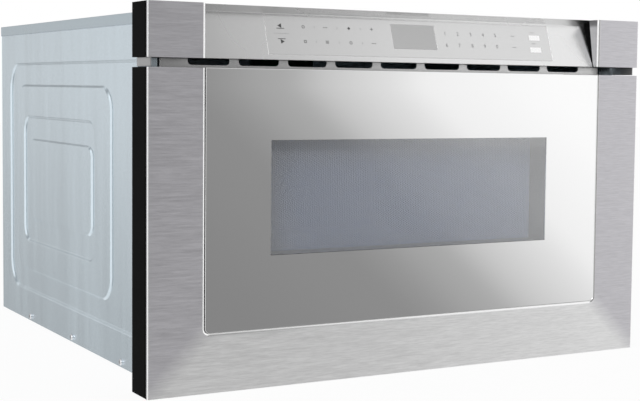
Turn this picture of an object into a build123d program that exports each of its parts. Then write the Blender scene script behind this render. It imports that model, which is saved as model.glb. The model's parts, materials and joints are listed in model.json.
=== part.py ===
from build123d import *
from math import atan2, cos, pi, radians, sin, sqrt, tan
import os

# Built-in microwave drawer, 24 inch class. Millimetres, +Z up, the front faces -Y.
# The origin is the middle of the footprint, on the surface that the feet stand on.
# A depth is a distance back from the front face of the drawer.

os.makedirs("parts", exist_ok=True)

# ---------------------------------------------------------------- driving sizes
# Whole object
face_w = 606.0  # width of the drawer front and of the end blocks together
face_h = 384.0  # bottom of the drawer front to the top of the end blocks
overall_d = 600.0  # front face to the heads of the rear screws
face_low_z = 1.0  # drawer front above the surface that the feet stand on
control_h = 53.6  # height of the fixed upper strip
door_gap = 9.4  # open gap between the upper strip and the drawer front
stile_w = 60.0  # end blocks and the uprights of the door frame
travel = 380.0  # how far the drawer slides out

# Case
case_inset = 25.0  # case sides inside the ends of the front
case_floor_z = 5.2  # underside of the base plate, and so the height of the feet
case_top_drop = 6.5  # top cover below the top of the front
case_sheet = 1.2
skin = 1.0  # wall of the pressed side panels
emboss = 2.0  # depth of the pressed rings
front_d = 39.2  # front face to the front frame
flange_w = 20.0  # mounting flange beyond the case
hem_d = 3.1  # stand-off of the folded flange edge
hem_w = 6.5
lip_h = 12.0  # folded lips of the base, the cover and the rear
joint = 1.2  # open joint between the front frame and the side flanges
ring_r = 34.0  # corner radius of the largest pressed ring
ring_r_step = 7.0  # each ring inside has a corner radius smaller by this
ring_margin_back = 39.5
ring_margin_low = 38.8
ring_margin_high = 49.5
# Each further ring lies inside the last by these: front, back, low, high
ring_insets = [(132.0, 33.0, 26.0, 27.0), (51.0, 28.0, 37.0, 39.0), (12.0, 27.0, 28.0, 28.0)]
mount_hole_r = 2.4
mount_hole_in = 10.0  # mounting hole centres outside the case side
mount_hole_low_z = 95.0
mount_hole_pitch = 180.0
foot_r = 10.0
foot_chamfer = 1.0
foot_inset = 48.0  # foot centres inside the case sides and its ends
cover_gap = 0.2  # top cover behind the front frame
rib_front_d = 180.0  # stiffening ribs across the top cover
rib_pitch = 240.0
rib_w = 26.0
rib_h = 2.0
rib_inset = 60.0  # rib ends inside the case sides
rib_wall = 1.0
inlet_slot_w = 8.0  # air inlet slots in the base
inlet_slot_len = 40.0
inlet_slot_pitch = 24.0
inlet_row_pitch = 50.0
inlet_slots = 9
outlet_hole_r = 3.5  # air outlet holes in the rear
outlet_pitch = 11.0
outlet_columns = 8
outlet_rows = 7
outlet_up = 34.0  # middle of the outlet holes above the floor of the cavity
gland_r = 9.0  # bushing for a mains cord
gland_flange = 4.0
gland_len = 8.0
gland_inset = 70.0
gland_drop = 77.3  # below the top cover
cord_bore_r = 4.3

# Screws
screw_r = 1.9
screw_clear = 0.1
screw_head_r = 3.6
screw_head_h = 2.5
screw_len = 6.0
side_screw_d = 140.0
side_screw_pitch = 164.3
side_screw_count = 3
side_screw_up = 6.0  # above the lower edge of the case
rear_screw_low_z = 60.0
rear_screw_pitch = 130.0
rear_screw_count = 3

# Air outlet slots above the drawer front
slot_pitch = 55.8
slot_margin = 20.0  # least plain strip left beside the slots
slot_w = 45.3
slot_foot_w = 38.0
slot_foot_h = 3.6
slot_h = 20.0
slot_drop = 5.9  # slot foot below the upper strip
vent_overlap = 5.0  # vent strip reaches this far below the door top

# End blocks, their trims and brackets
front_sheet = 1.2
edge_return = 3.2  # folded edge of the front steel
edge_r = 1.0
return_low_d = 8.0  # depth of a block's inner return at its foot
return_high_d = 16.5
trim_wall = 2.2
trim_over = 2.8  # black edge behind the front frame's face
bracket_t = 1.2
bracket_front_d = 4.0
bracket_inset = 4.0  # bracket lip inside the edge of the front
bracket_clear = 0.8  # bracket lip above the drawer front
bracket_w = 26.0

# Control panel
panel_sheet = 1.2
panel_clear = 0.4
panel_low_d = 8.0
panel_high_d = 24.5
panel_lip_d = 14.0
panel_lip_h = 6.5
touch_t = 0.8
touch_w = 357.0
touch_x = 8.0  # centre of the touch glass
touch_low = 6.0  # up the slope from its foot
touch_high = 1.9  # touch glass short of the top of the slope
display_w = 54.0
display_high = 4.8  # display short of the top of the touch glass
display_x = 5.5
display_low = 15.7
display_t = 1.2
housing_wall = 1.8
housing_gap = 2.0  # housing behind the folds of the panel
board_t = 1.6
board_w = 412.0
board_inset = 2.0  # board edge to the housing floor and roof
board_post_r = 3.0
board_post_len = 3.0
board_post_pitch = 194.0
chip_xs = (-139.0, -94.0, 73.0, 129.0, 171.0)  # larger parts on the board
chip_w = 22.0
chip_h = 14.0
chip_t = 2.0

# Door
glass_t = 4.0
glass_clear = 0.1
glass_foot = 60.0  # steel below the glass
glass_corner_r = 4.5
glass_bevel = 0.8
window_side = 71.0  # glass edge to the window: at the sides, above and below
window_over = 71.0
window_under = 74.0
tunnel_wall = 1.5
tunnel_rim = 8.0
screen_t = 0.8
pane_t = 2.8
pane_rim = 10.0
web_gap = 2.1  # casing's rear web in front of the inner plate's back
web_t = 2.5
choke_t = 1.2
choke_gap = 0.6  # back face of the door's inner plate to the front frame
choke_clear = 0.8  # choke below the casing's top wall
choke_w = 28.0
choke_depth = 17.0
choke_lip = 8.0
view_step = 2.0  # inner plate reaches this far inside the window
tongue_t = 3.0  # latch tongues
tongue_h = 16.0
tongue_len = 46.0
tongue_base = 20.0
tongue_in = 2.0  # tongue outside the inner face of the rails
tongue_drop = 46.0  # tongue axis below the roof of the cavity
tongue_play = 4.0
notch_back = 28.0  # hook notch of a tongue
notch_len = 8.0
notch_deep = 5.0
switch_len = 28.0
switch_h = 16.0
switch_pitch = 24.0
switch_play = 1.0

# Oven cavity
cavity_side = 60.0  # cavity wall inside the case side
cavity_z = 97.0
cavity_sheet = 1.0
recess_r = 118.0
recess_h = 20.0
recess_ledge = 4.0  # step at the mouth of the recess that carries its cover
cover_t = 1.5
feed_r = 18.0  # hole that feeds the cavity
lamp_back = 44.6  # lamp behind the middle of the cavity
lamp_drop = 45.0  # lamp and its holder
lamp_r = 11.0
lamp_len = 20.0
lamp_plate = 36.0
lamp_plate_t = 6.0
lamp_pin_pitch = 10.0
lamp_pin_len = 8.0
lamp_pin_w = 6.0
pin_t = 0.8
cutout_r = 8.0  # thermal cut-outs
cutout_h = 10.0
cutout_x = 98.0
cutout_gap = 1.0

# Drawer bin
bin_side_gap = 8.0  # bin to the cavity: at the sides, below, above and behind
bin_up = 4.0
bin_drop = 28.0
bin_back_gap = 28.8
bin_sheet = 1.2
bin_ledge = 16.0
tray_t = 4.0
tray_clear = 0.5

# Telescopic rails
rail_spare = 70.0  # rail longer than the travel
rail_z = 135.0
rail_h = 45.0
rail_sheet = 1.4
rail_play = 1.5  # between the members, where the balls run
rail_w = 13.0
rail_case_gap = 4.0  # rail to the pressed-in wall of the case
rail_front_gap = 1.6  # rail behind the front frame
slot_play = 2.0  # frame opening round what passes through it
outer_lip = 4.0  # flange edges behind the inner face of the rail
middle_lip = 2.0
rail_bracket_t = 1.6
rail_bracket_w = 30.0
rail_bracket_front = 40.0  # rail brackets from the rail's ends
rail_bracket_back = 70.0
arm_t = 2.0  # arms that join the door to the inner rails
arm_in = 4.0
arm_out = 16.0
arm_len = 75.5

# Drive
module = 1.5
pinion_teeth = 18
rack_in = 158.0  # rack inside the case side
rack_w = 12.0
rack_back_h = 9.0
rack_spare = 22.5  # rack left beyond the pinion when the drawer is out
rack_foot_w = 44.0
rack_foot_t = 2.0
gear_module = 1.0
wheel_teeth = 30
motor_teeth = 12
gear_w = 8.0
pressure_angle = 20.0
addendum = 0.8  # of the module, for the rack and every gear
dedendum = 1.05
tooth_play = 0.12
pinion_d = 74.0
wheel_clear = 1.8  # wheel above the foot of its bracket
shaft_r = 4.0
bearing_play = 0.06
drive_plate_t = 3.0
drive_plate_up = 12.0  # bracket cheeks above the shafts
drive_plate_over = 22.0  # bracket beyond the shafts
rack_plate_gap = 10.0  # rack to the left cheek
wheel_gap = 20.0  # rack to the wheel on the pinion's shaft
wheel_plate_gap = 6.0
shaft_over = 2.0
motor_shaft_r = 3.0
motor_shaft_play = 1.0
motor_r = 16.0
motor_len = 62.0
gearbox_len = 22.0
gearbox_half = 17.0
gearbox_front = 14.0  # gearbox in front of and behind the motor's axis
gearbox_back = 18.0

# Microwave supply
guide_w = 90.0
guide_h = 38.0
guide_wall = 1.5
guide_front = 58.5  # waveguide in front of the antenna's axis
antenna_r = 95.0
antenna_t = 1.5
antenna_up = 7.0  # antenna above the recess floor
antenna_shaft_r = 4.0
antenna_slots = 4
antenna_slot_w = 10.0
antenna_slot_len = 57.0
antenna_motor_r = 25.0
antenna_motor_h = 18.0
antenna_motor_lug = 8.0
antenna_lug_w = 12.0
antenna_lug_t = 1.5
antenna_end_play = 0.3
magnetron_w = 92.0
magnetron_d = 88.0
magnetron_h = 92.0
magnetron_fins = 9
magnetron_plate = 2.0
magnetron_core_r = 20.0
magnetron_end = 15.0  # bare core above and below the fins
fin_t = 0.8
fin_inset = 3.0
post_r = 8.0  # post that stands in the waveguide
post_len = 16.0
post_play = 1.0
filter_box_w = 60.0
filter_box_d = 48.0
filter_box_h = 28.0
duct_len = 66.0
duct_wall = 1.5
fan_w = 106.0
fan_t = 38.0
fan_wall = 2.5
fan_arm_t = 3.0
fan_arm_w = 8.0
fan_blades = 7
fan_blade_t = 1.6
fan_blade_turn = 35.0
fan_hub_r = 18.0
fan_tip_play = 2.0
fan_end_play = 1.0
fan_motor_len = 14.0
fan_front_play = 3.0
supply_gap = 3.45  # fan to the cavity and to the rear panel
transformer_in = 92.0  # transformer and capacitor inside the case side
core_w = 80.0
core_depth = 84.0
core_h = 70.0
winding_over = 12.0  # windings beyond the core at each end
winding_inset = 10.0
winding_low = 15.0
winding_h = 40.0
can_in = 60.0
can_w = 32.0
can_len = 52.0
can_h = 78.0
can_tab_pitch = 16.0
can_tab_w = 6.0
can_tab_h = 10.0
filter_w = 95.0  # line filter board
filter_h = 90.0
filter_stand = 8.0
filter_post_r = 3.0
filter_post_in = 6.0
filter_gland_gap = 25.0
coil_r = 15.0
coil_h = 20.0
coil_in = 28.0
relay_w = 26.0
relay_h = 40.0
relay_t = 14.0
relay_in = 12.0

# ---------------------------------------------------------------- places worked out
front_y = -overall_d / 2
side_in = emboss + skin  # full pressing depth of a side panel
half_face = face_w / 2
half_case = half_face - case_inset
case_back_d = overall_d - screw_head_h
face_top_z = face_low_z + face_h
upper_z = face_top_z - control_h
door_top_z = upper_z - door_gap
case_top_z = face_top_z - case_top_drop
cover_z = case_top_z - case_sheet
frame_back_d = front_d + case_sheet
floor_top_z = case_floor_z + case_sheet
stile_in = half_face - stile_w
cavity_half = half_case - cavity_side
cavity_top_z = door_top_z - trim_wall - choke_clear - choke_w
supply_room = fan_w + 2 * supply_gap
cavity_back_d = case_back_d - case_sheet - supply_room - cavity_sheet
choke_d = front_d - choke_gap
web_back_d = choke_d - web_gap
trim_d = front_d + trim_over
frame_half = half_case - skin - joint
vent_low_z = door_top_z - vent_overlap
antenna_d = (frame_back_d + cavity_back_d) / 2
magnetron_mid_d = case_back_d - case_sheet - supply_room / 2
rail_len = travel + rail_spare
rack_len = travel + pinion_d - web_back_d + rack_spare
guide_top_z = cavity_z - recess_h - cavity_sheet
fan_back_x = -magnetron_w / 2 - duct_len
fan_front_x = fan_back_x - fan_t
fan_mid_x = (fan_front_x + fan_back_x) / 2
fan_mid_z = guide_top_z + magnetron_h / 2
transformer_x = half_case - transformer_in
can_x = can_in - half_case
rack_x = half_case - rack_in

SIDES = ((-1, "left"), (1, "right"))


def block(x, depth, z, mode=Mode.ADD):
    """Add or cut a box, given its spans across, back from the front face, and up."""
    with Locations((sum(x) / 2, front_y + sum(depth) / 2, sum(z) / 2)):
        Box(abs(x[1] - x[0]), depth[1] - depth[0], z[1] - z[0], mode=mode)


def rod(centre, radius, length, axis, mode=Mode.ADD):
    """Add or cut a cylinder centred on a point (across, depth, up), along X, Y or Z."""
    turn = {"X": (0, 90, 0), "Y": (90, 0, 0), "Z": (0, 0, 0)}[axis]
    with Locations((centre[0], front_y + centre[1], centre[2])):
        Cylinder(radius, length, rotation=turn, mode=mode)


def save(builder, node):
    """Label a finished piece and write it as a STEP file under its node name."""
    builder.part.label = node
    export_step(builder.part, f"parts/{node}.step")


def pair(side, inner, outer):
    """Span across the object of something on one side, in rising order."""
    return tuple(sorted((side * inner, side * outer)))


def screw_places():
    """Every case screw: head centre (across, depth, up), axis, and the head's direction."""
    places = []
    for side, _ in SIDES:
        for index in range(side_screw_count):
            depth = side_screw_d + index * side_screw_pitch
            places.append(((side * half_case, depth, case_floor_z + side_screw_up), "X", side))
        for index in range(rear_screw_count):
            height = rear_screw_low_z + index * rear_screw_pitch
            places.append(((side * (half_case - lip_h * 0.8), case_back_d, height), "Y", 1))
    return places


def cut_screw_holes():
    """Cut the shank holes of all case screws out of the piece being built."""
    for centre, axis, _ in screw_places():
        rod(centre, screw_r + screw_clear, 4 * screw_len, axis, mode=Mode.SUBTRACT)


def ring_outline(ring, grow):
    """Rounded outline of one pressed ring, grown by an amount, in depth and height."""
    depth, z, radius, clipped = ring
    with BuildSketch() as outline:
        with Locations((front_y + sum(depth) / 2, sum(z) / 2)):
            RectangleRounded(
                depth[1] - depth[0] + 2 * grow, z[1] - z[0] + 2 * grow, radius + grow
            )
        if clipped:
            with Locations((front_y + ring_front_d - grow, sum(z) / 2)):
                Rectangle(face_w, face_h, align=(Align.MAX, Align.CENTER), mode=Mode.SUBTRACT)
    return outline.sketch_local


# ---------------------------------------------------------------- case
# Pressed rings of a side panel, largest first; the largest runs out to the front
ring_front_d = front_d + hem_d + case_sheet
ring_depth = (ring_front_d - 2 * ring_r, case_back_d - ring_margin_back)
ring_z = (case_floor_z + ring_margin_low, case_top_z - ring_margin_high)
rings = [(ring_depth, ring_z, ring_r, True)]
ring_depth = (ring_front_d, ring_depth[1])
for number, (front, back, low, high) in enumerate(ring_insets, start=1):
    ring_depth = (ring_depth[0] + front, ring_depth[1] - back)
    ring_z = (ring_z[0] + low, ring_z[1] - high)
    rings.append((ring_depth, ring_z, ring_r - number * ring_r_step, False))

hem_back_d = front_d + hem_d
for side, word in SIDES:
    with BuildPart() as case_side:
        block(pair(side, half_case - side_in, half_case), (front_d, case_back_d), (case_floor_z, cover_z))
        # pressed in from outside: between the first two rings and between the last two
        outside = pair(side, half_case - emboss, half_case)
        for outer, inner in ((rings[0], rings[1]), (rings[2], rings[3])):
            with BuildSketch(Plane.YZ.offset(outside[0])) as pressed:
                add(ring_outline(outer, 0))
                add(ring_outline(inner, 0), mode=Mode.SUBTRACT)
            extrude(amount=emboss, mode=Mode.SUBTRACT)
        # hollow behind what stays proud: outside the first ring, between, and the middle
        inside = pair(side, half_case - side_in, half_case - skin)
        with BuildSketch(Plane.YZ.offset(inside[0])) as hollow:
            with Locations((front_y + (front_d + case_back_d) / 2, (case_floor_z + cover_z) / 2)):
                Rectangle(case_back_d - front_d, cover_z - case_floor_z)
            add(ring_outline(rings[0], skin), mode=Mode.SUBTRACT)
            add(ring_outline(rings[1], -skin))
            add(ring_outline(rings[2], skin), mode=Mode.SUBTRACT)
            add(ring_outline(rings[3], -skin))
        extrude(amount=emboss, mode=Mode.SUBTRACT)
        # mounting flange with its folded edge, and the lip that the rear panel screws to
        flange_edge = half_case + flange_w
        span_z = (case_floor_z, cover_z)
        block(pair(side, half_case - skin, flange_edge), (front_d, frame_back_d), span_z)
        block(pair(side, flange_edge - case_sheet, flange_edge), (front_d, hem_back_d), span_z)
        block(pair(side, flange_edge - hem_w, flange_edge), (hem_back_d - case_sheet, hem_back_d), span_z)
        rear_lip_d = (case_back_d - 2 * case_sheet, case_back_d - case_sheet)
        rear_lip_z = (floor_top_z + lip_h, cover_z)
        block(pair(side, half_case - skin - lip_h, half_case - skin), rear_lip_d, rear_lip_z)
        hole_x = side * (half_case + mount_hole_in)
        for hole_z in (mount_hole_low_z, mount_hole_low_z + mount_hole_pitch):
            rod((hole_x, front_d, hole_z), mount_hole_r, 4 * case_sheet, "Y", mode=Mode.SUBTRACT)
        cut_screw_holes()
    save(case_side, f"case_side_{word}")

base_half = half_case - skin
with BuildPart() as base_plate:
    block((-base_half, base_half), (frame_back_d, case_back_d - case_sheet), (case_floor_z, floor_top_z))
    for side, _ in SIDES:
        lip = pair(side, base_half - case_sheet, base_half)
        block(lip, (frame_back_d, case_back_d - case_sheet), (floor_top_z, floor_top_z + lip_h))
    rear_lip = (case_back_d - 2 * case_sheet, case_back_d - case_sheet)
    block((-base_half, base_half), rear_lip, (floor_top_z, floor_top_z + lip_h))
    # air inlet slots under the fan and the magnetron
    with Locations((0, front_y + magnetron_mid_d, case_floor_z)):
        with GridLocations(inlet_slot_pitch, inlet_row_pitch, inlet_slots, 2):
            Box(inlet_slot_w, inlet_slot_len, 4 * case_sheet, mode=Mode.SUBTRACT)
    cut_screw_holes()
save(base_plate, "base_plate")

with BuildPart() as base_feet:
    foot_x = half_case - foot_inset
    foot_span = (front_d + foot_inset, case_back_d - foot_inset)
    for x in (-foot_x, foot_x):
        for depth in foot_span:
            rod((x, depth, case_floor_z / 2), foot_r, case_floor_z, "Z")
    chamfer(base_feet.edges().group_by(Axis.Z)[0], foot_chamfer)
save(base_feet, "base_feet")

with BuildPart() as rear_panel:
    rear_d = (case_back_d - case_sheet, case_back_d)
    block((-base_half, base_half), rear_d, (case_floor_z, cover_z))
    # round air outlets in rows behind the fan and the transformer
    for vent_x in (fan_mid_x, transformer_x):
        with Locations((vent_x, front_y + case_back_d, cavity_z + outlet_up)):
            with Locations(Location((0, 0, 0), (90, 0, 0))):
                with GridLocations(outlet_pitch, outlet_pitch, outlet_columns, outlet_rows):
                    Cylinder(outlet_hole_r, 4 * case_sheet, mode=Mode.SUBTRACT)
    gland_x = half_case - gland_inset
    gland_z = cover_z - gland_drop
    gland_hole_r = gland_r + screw_clear
    rod((gland_x, case_back_d, gland_z), gland_hole_r, 4 * case_sheet, "Y", mode=Mode.SUBTRACT)
    cut_screw_holes()
save(rear_panel, "rear_panel")

with BuildPart() as case_top_cover:
    cover_half = half_case + case_sheet
    cover_d = (frame_back_d + cover_gap, case_back_d)
    block((-cover_half, cover_half), cover_d, (cover_z, case_top_z))
    for side, _ in SIDES:
        lip_x = pair(side, half_case, cover_half)
        block(lip_x, cover_d, (case_top_z - lip_h, cover_z))
    # two shallow stiffening ribs pressed up across the cover
    rib_half = half_case - rib_inset
    hollow_half = rib_half - rib_wall
    for depth in (rib_front_d, rib_front_d + rib_pitch):
        block((-rib_half, rib_half), (depth, depth + rib_w), (case_top_z, case_top_z + rib_h))
        hollow_d = (depth + rib_wall, depth + rib_w - rib_wall)
        hollow_z = (cover_z, case_top_z + rib_h - rib_wall)
        block((-hollow_half, hollow_half), hollow_d, hollow_z, Mode.SUBTRACT)
save(case_top_cover, "case_top_cover")

# ---------------------------------------------------------------- front frame and vent
rail_out_x = half_case - side_in - rail_case_gap
rail_in_x = rail_out_x - rail_w
rail_slot_x = (rail_in_x - rail_bracket_t - slot_play, rail_out_x - rail_sheet + slot_play / 2)
rail_slot_z = (rail_z - rail_h / 2 - slot_play, rail_z + rail_h / 2 + slot_play)
tongue_x = rail_in_x + tongue_in
tongue_z = cavity_top_z - tongue_drop
wheel_tip_r = gear_module * (wheel_teeth / 2 + addendum)
pinion_z = floor_top_z + drive_plate_t + wheel_clear + wheel_tip_r
pitch_line_z = pinion_z + module * pinion_teeth / 2
rack_top_z = pitch_line_z + rack_back_h
rack_tip_z = pitch_line_z - addendum * module

with BuildPart() as front_frame:
    block((-frame_half, frame_half), (front_d, frame_back_d), (case_floor_z, vent_low_z))
    open_d = (front_d - 1, frame_back_d + 1)
    block((-cavity_half, cavity_half), open_d, (cavity_z, cavity_top_z), Mode.SUBTRACT)
    for side, _ in SIDES:
        block(pair(side, *rail_slot_x), open_d, rail_slot_z, Mode.SUBTRACT)
        latch_half = tongue_h / 2 + tongue_play
        latch_x = pair(side, tongue_x - tongue_play, tongue_x + tongue_t + tongue_play)
        block(latch_x, open_d, (tongue_z - latch_half, tongue_z + latch_half), Mode.SUBTRACT)
    rack_slot_x = (rack_x - rack_w / 2 - slot_play, rack_x + rack_w / 2 + slot_play)
    block(rack_slot_x, open_d, (rack_tip_z - slot_play, rack_top_z + slot_play), Mode.SUBTRACT)
save(front_frame, "front_frame")

slot_z = upper_z - slot_drop
slot_count = int((2 * frame_half - slot_margin) / slot_pitch)
with BuildPart() as vent_strip:
    block((-frame_half, frame_half), (front_d, frame_back_d), (vent_low_z, cover_z))
    with BuildSketch(Plane.XZ.offset(-front_y - frame_back_d - 1)) as slots:
        for index in range(slot_count):
            x = (index - (slot_count - 1) / 2) * slot_pitch
            shoulder_z = slot_z + slot_foot_h
            with BuildLine() as edge:
                Polyline(
                    (x - slot_foot_w / 2, slot_z), (x + slot_foot_w / 2, slot_z),
                    (x + slot_w / 2, shoulder_z), (x + slot_w / 2, slot_z + slot_h),
                    (x - slot_w / 2, slot_z + slot_h), (x - slot_w / 2, shoulder_z), close=True,
                )
            make_face()
    extrude(amount=case_sheet + 2, mode=Mode.SUBTRACT)
save(vent_strip, "vent_strip")

# ---------------------------------------------------------------- upper strip ends
for side, word in SIDES:
    block_x = pair(side, stile_in, half_face)
    block_z = (upper_z, face_top_z)

    # steel end block: front, folded edges, and an inner return that deepens upwards
    with BuildPart() as end_block:
        block(block_x, (0, front_sheet), block_z)
        block(pair(side, half_face - front_sheet, half_face), (0, edge_return), block_z)
        block(block_x, (0, edge_return), (upper_z, upper_z + front_sheet))
        block(block_x, (0, edge_return), (face_top_z - front_sheet, face_top_z))
        top_x = pair(side, stile_in, half_face - trim_wall)
        block(top_x, (0, panel_lip_d), (face_top_z - front_sheet, face_top_z))
        return_x = pair(side, stile_in, stile_in + front_sheet)
        with BuildSketch(Plane.YZ.offset(return_x[0])) as inner_return:
            with BuildLine() as edge:
                Polyline(
                    (front_y, upper_z), (front_y + return_low_d, upper_z),
                    (front_y + return_high_d, face_top_z), (front_y, face_top_z), close=True,
                )
            make_face()
        extrude(amount=front_sheet)
        front_edges = end_block.edges().filter_by(Axis.Z).sort_by(Axis.Y)[0:2]
        fillet(front_edges, edge_r)
    save(end_block, f"end_block_{word}")

    # black moulded housing behind the steel: outer edge, floor, top and inner cheek
    with BuildPart() as end_trim:
        block(pair(side, half_face - trim_wall, half_face), (edge_return, trim_d), block_z)
        floor_x = pair(side, stile_in + front_sheet, half_face - trim_wall)
        block(floor_x, (edge_return, front_d - bracket_t), (upper_z, upper_z + trim_wall))
        block(floor_x, (panel_lip_d, front_d - bracket_t), (face_top_z - trim_wall, face_top_z))
        cheek_x = pair(side, stile_in, stile_in + trim_wall)
        with BuildSketch(Plane.YZ.offset(cheek_x[0])) as cheek:
            with BuildLine() as edge:
                Polyline(
                    (front_y + return_low_d, upper_z), (front_y + front_d - bracket_t, upper_z),
                    (front_y + front_d - bracket_t, face_top_z), (front_y + return_high_d, face_top_z),
                    close=True,
                )
            make_face()
        extrude(amount=trim_wall)
    save(end_trim, f"end_trim_{word}")

    # galvanised bracket that holds the block; its lip shows in the gap
    with BuildPart() as end_bracket:
        bracket_out = half_face - bracket_inset
        bracket_z = (upper_z + trim_wall, cover_z)
        plate_x = pair(side, bracket_out - bracket_w, bracket_out)
        block(plate_x, (front_d - bracket_t, front_d), bracket_z)
        lip_x = pair(side, bracket_out - bracket_t, bracket_out)
        lip_low_z = door_top_z + bracket_clear
        block(lip_x, (bracket_front_d, front_d), (lip_low_z, upper_z))
        block(lip_x, (front_d - bracket_t, front_d), (lip_low_z, cover_z))
    save(end_bracket, f"end_bracket_{word}")

# ---------------------------------------------------------------- control panel
panel_half = stile_in - panel_clear
slope_z = face_top_z - panel_lip_h
slope = atan2(panel_high_d - panel_low_d, slope_z - upper_z)
slope_len = (slope_z - upper_z) / cos(slope)
touch_h = slope_len - touch_low - touch_high
display_h = touch_low + touch_h - display_high - display_low
slope_plane = Plane(
    origin=(0, front_y + panel_low_d, upper_z),
    x_dir=(1, 0, 0),
    z_dir=(0, -cos(slope), sin(slope)),
)

with BuildPart() as control_panel:
    with BuildSketch(Plane.YZ.offset(-panel_half)) as profile:
        with BuildLine() as fold:
            Polyline(
                (front_y + front_d, upper_z),
                (front_y + panel_low_d, upper_z),
                (front_y + panel_high_d, slope_z),
                (front_y + panel_lip_d, face_top_z),
                (front_y + front_d, face_top_z),
            )
            offset(amount=panel_sheet, side=Side.RIGHT)
        make_face()
    extrude(amount=2 * panel_half)
    with BuildSketch(slope_plane.offset(1)) as touch_opening:
        with Locations((touch_x, touch_low + touch_h / 2)):
            Rectangle(touch_w, touch_h)
    extrude(amount=-2 * panel_sheet - 2, mode=Mode.SUBTRACT)
save(control_panel, "control_panel")

with BuildPart() as touch_glass:
    with BuildSketch(slope_plane.offset(-touch_t)) as touch_outline:
        with Locations((touch_x, touch_low + touch_h / 2)):
            Rectangle(touch_w, touch_h)
    extrude(amount=touch_t)
save(touch_glass, "touch_glass")

with BuildPart() as display_window:
    with BuildSketch(slope_plane.offset(-touch_t - display_t)) as display_outline:
        with Locations((display_x, display_low + display_h / 2)):
            Rectangle(display_w, display_h)
    extrude(amount=display_t)
save(display_window, "display_window")

with BuildPart() as control_housing:
    housing_z = (upper_z + panel_sheet, face_top_z - panel_sheet)
    block((-panel_half, panel_half), (front_d - housing_wall, front_d), housing_z)
    floor_d = (panel_low_d + 2 * panel_sheet + housing_gap, front_d)
    block((-panel_half, panel_half), floor_d, (housing_z[0], housing_z[0] + housing_wall))
    roof_d = (panel_high_d + 2 * panel_sheet + housing_gap, front_d)
    block((-panel_half, panel_half), roof_d, (housing_z[1] - housing_wall, housing_z[1]))
save(control_housing, "control_housing")

with BuildPart() as control_board:
    board_back_d = front_d - housing_wall - board_post_len
    board_edge = housing_wall + board_inset
    board_z = (housing_z[0] + board_edge, housing_z[1] - board_edge)
    board_mid_z = sum(board_z) / 2
    board_front_d = board_back_d - board_t
    block((-board_w / 2, board_w / 2), (board_front_d, board_back_d), board_z)
    # stand-offs to the housing, and the larger parts low on the board
    for x in (-board_post_pitch, 0, board_post_pitch):
        rod((x, board_back_d + board_post_len / 2, board_mid_z), board_post_r, board_post_len, "Y")
    for x in chip_xs:
        chip_x = (x - chip_w / 2, x + chip_w / 2)
        chip_z = (board_mid_z - chip_h, board_mid_z)
        block(chip_x, (board_front_d - chip_t, board_front_d), chip_z)
save(control_board, "control_board")

# ---------------------------------------------------------------- oven cavity and supply
with BuildPart() as oven_cavity:
    wall = cavity_sheet
    shell_d = (frame_back_d, cavity_back_d + wall)
    block((-cavity_half - wall, cavity_half + wall), shell_d, (cavity_z - wall, cavity_top_z + wall))
    ledge_r = recess_r + recess_ledge
    recess_mid_z = cavity_z - recess_h / 2
    rod((0, antenna_d, recess_mid_z - wall / 2), recess_r + wall, recess_h + wall, "Z")
    rod((0, antenna_d, cavity_z - (cover_t + wall) / 2), ledge_r + wall, cover_t + wall, "Z")
    hollow_d = (frame_back_d - 1, cavity_back_d)
    block((-cavity_half, cavity_half), hollow_d, (cavity_z, cavity_top_z), Mode.SUBTRACT)
    rod((0, antenna_d, recess_mid_z), recess_r, recess_h, "Z", Mode.SUBTRACT)
    rod((0, antenna_d, cavity_z - cover_t / 2), ledge_r, cover_t, "Z", Mode.SUBTRACT)
    rod((0, antenna_d, cavity_z - recess_h), feed_r, 4 * wall, "Z", Mode.SUBTRACT)
save(oven_cavity, "oven_cavity")

with BuildPart() as antenna_cover:
    rod((0, antenna_d, cavity_z - cover_t / 2), ledge_r - tray_clear, cover_t, "Z")
save(antenna_cover, "antenna_cover")

guide_low_z = guide_top_z - guide_h
guide_d = (antenna_d - guide_front, magnetron_mid_d + magnetron_d / 2)
with BuildPart() as waveguide:
    block((-guide_w / 2, guide_w / 2), guide_d, (guide_low_z, guide_top_z))
    guide_in_x = (-guide_w / 2 + guide_wall, guide_w / 2 - guide_wall)
    guide_in_d = (guide_d[0] + guide_wall, guide_d[1] - guide_wall)
    guide_in_z = (guide_low_z + guide_wall, guide_top_z - guide_wall)
    block(guide_in_x, guide_in_d, guide_in_z, Mode.SUBTRACT)
    rod((0, antenna_d, guide_top_z), feed_r, 3 * guide_wall, "Z", Mode.SUBTRACT)
    bearing_r = antenna_shaft_r + bearing_play
    rod((0, antenna_d, guide_low_z), bearing_r, 3 * guide_wall, "Z", Mode.SUBTRACT)
    rod((0, magnetron_mid_d, guide_top_z), post_r + post_play, 3 * guide_wall, "Z", Mode.SUBTRACT)
save(waveguide, "waveguide")

with BuildPart() as antenna_motor:
    motor_mid_z = guide_low_z - antenna_motor_h / 2
    rod((0, antenna_d, motor_mid_z), antenna_motor_r, antenna_motor_h, "Z")
    lug_x = antenna_motor_r + antenna_motor_lug
    lug_d = (antenna_d - antenna_lug_w / 2, antenna_d + antenna_lug_w / 2)
    block((-lug_x, lug_x), lug_d, (guide_low_z - antenna_lug_t, guide_low_z))
save(antenna_motor, "antenna_motor")

with BuildPart() as antenna:
    disc_z = cavity_z - recess_h + antenna_up
    rod((0, antenna_d, disc_z + antenna_t / 2), antenna_r, antenna_t, "Z")
    # slots that shape the field
    with Locations((0, front_y + antenna_d, disc_z)):
        with PolarLocations(antenna_slot_len, antenna_slots, start_angle=45):
            Box(antenna_slot_w, antenna_slot_len, 4 * antenna_t, mode=Mode.SUBTRACT)
    shaft_low_z = guide_low_z + antenna_end_play
    rod((0, antenna_d, (shaft_low_z + disc_z) / 2), antenna_shaft_r, disc_z - shaft_low_z, "Z")
save(antenna, "antenna")

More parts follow.
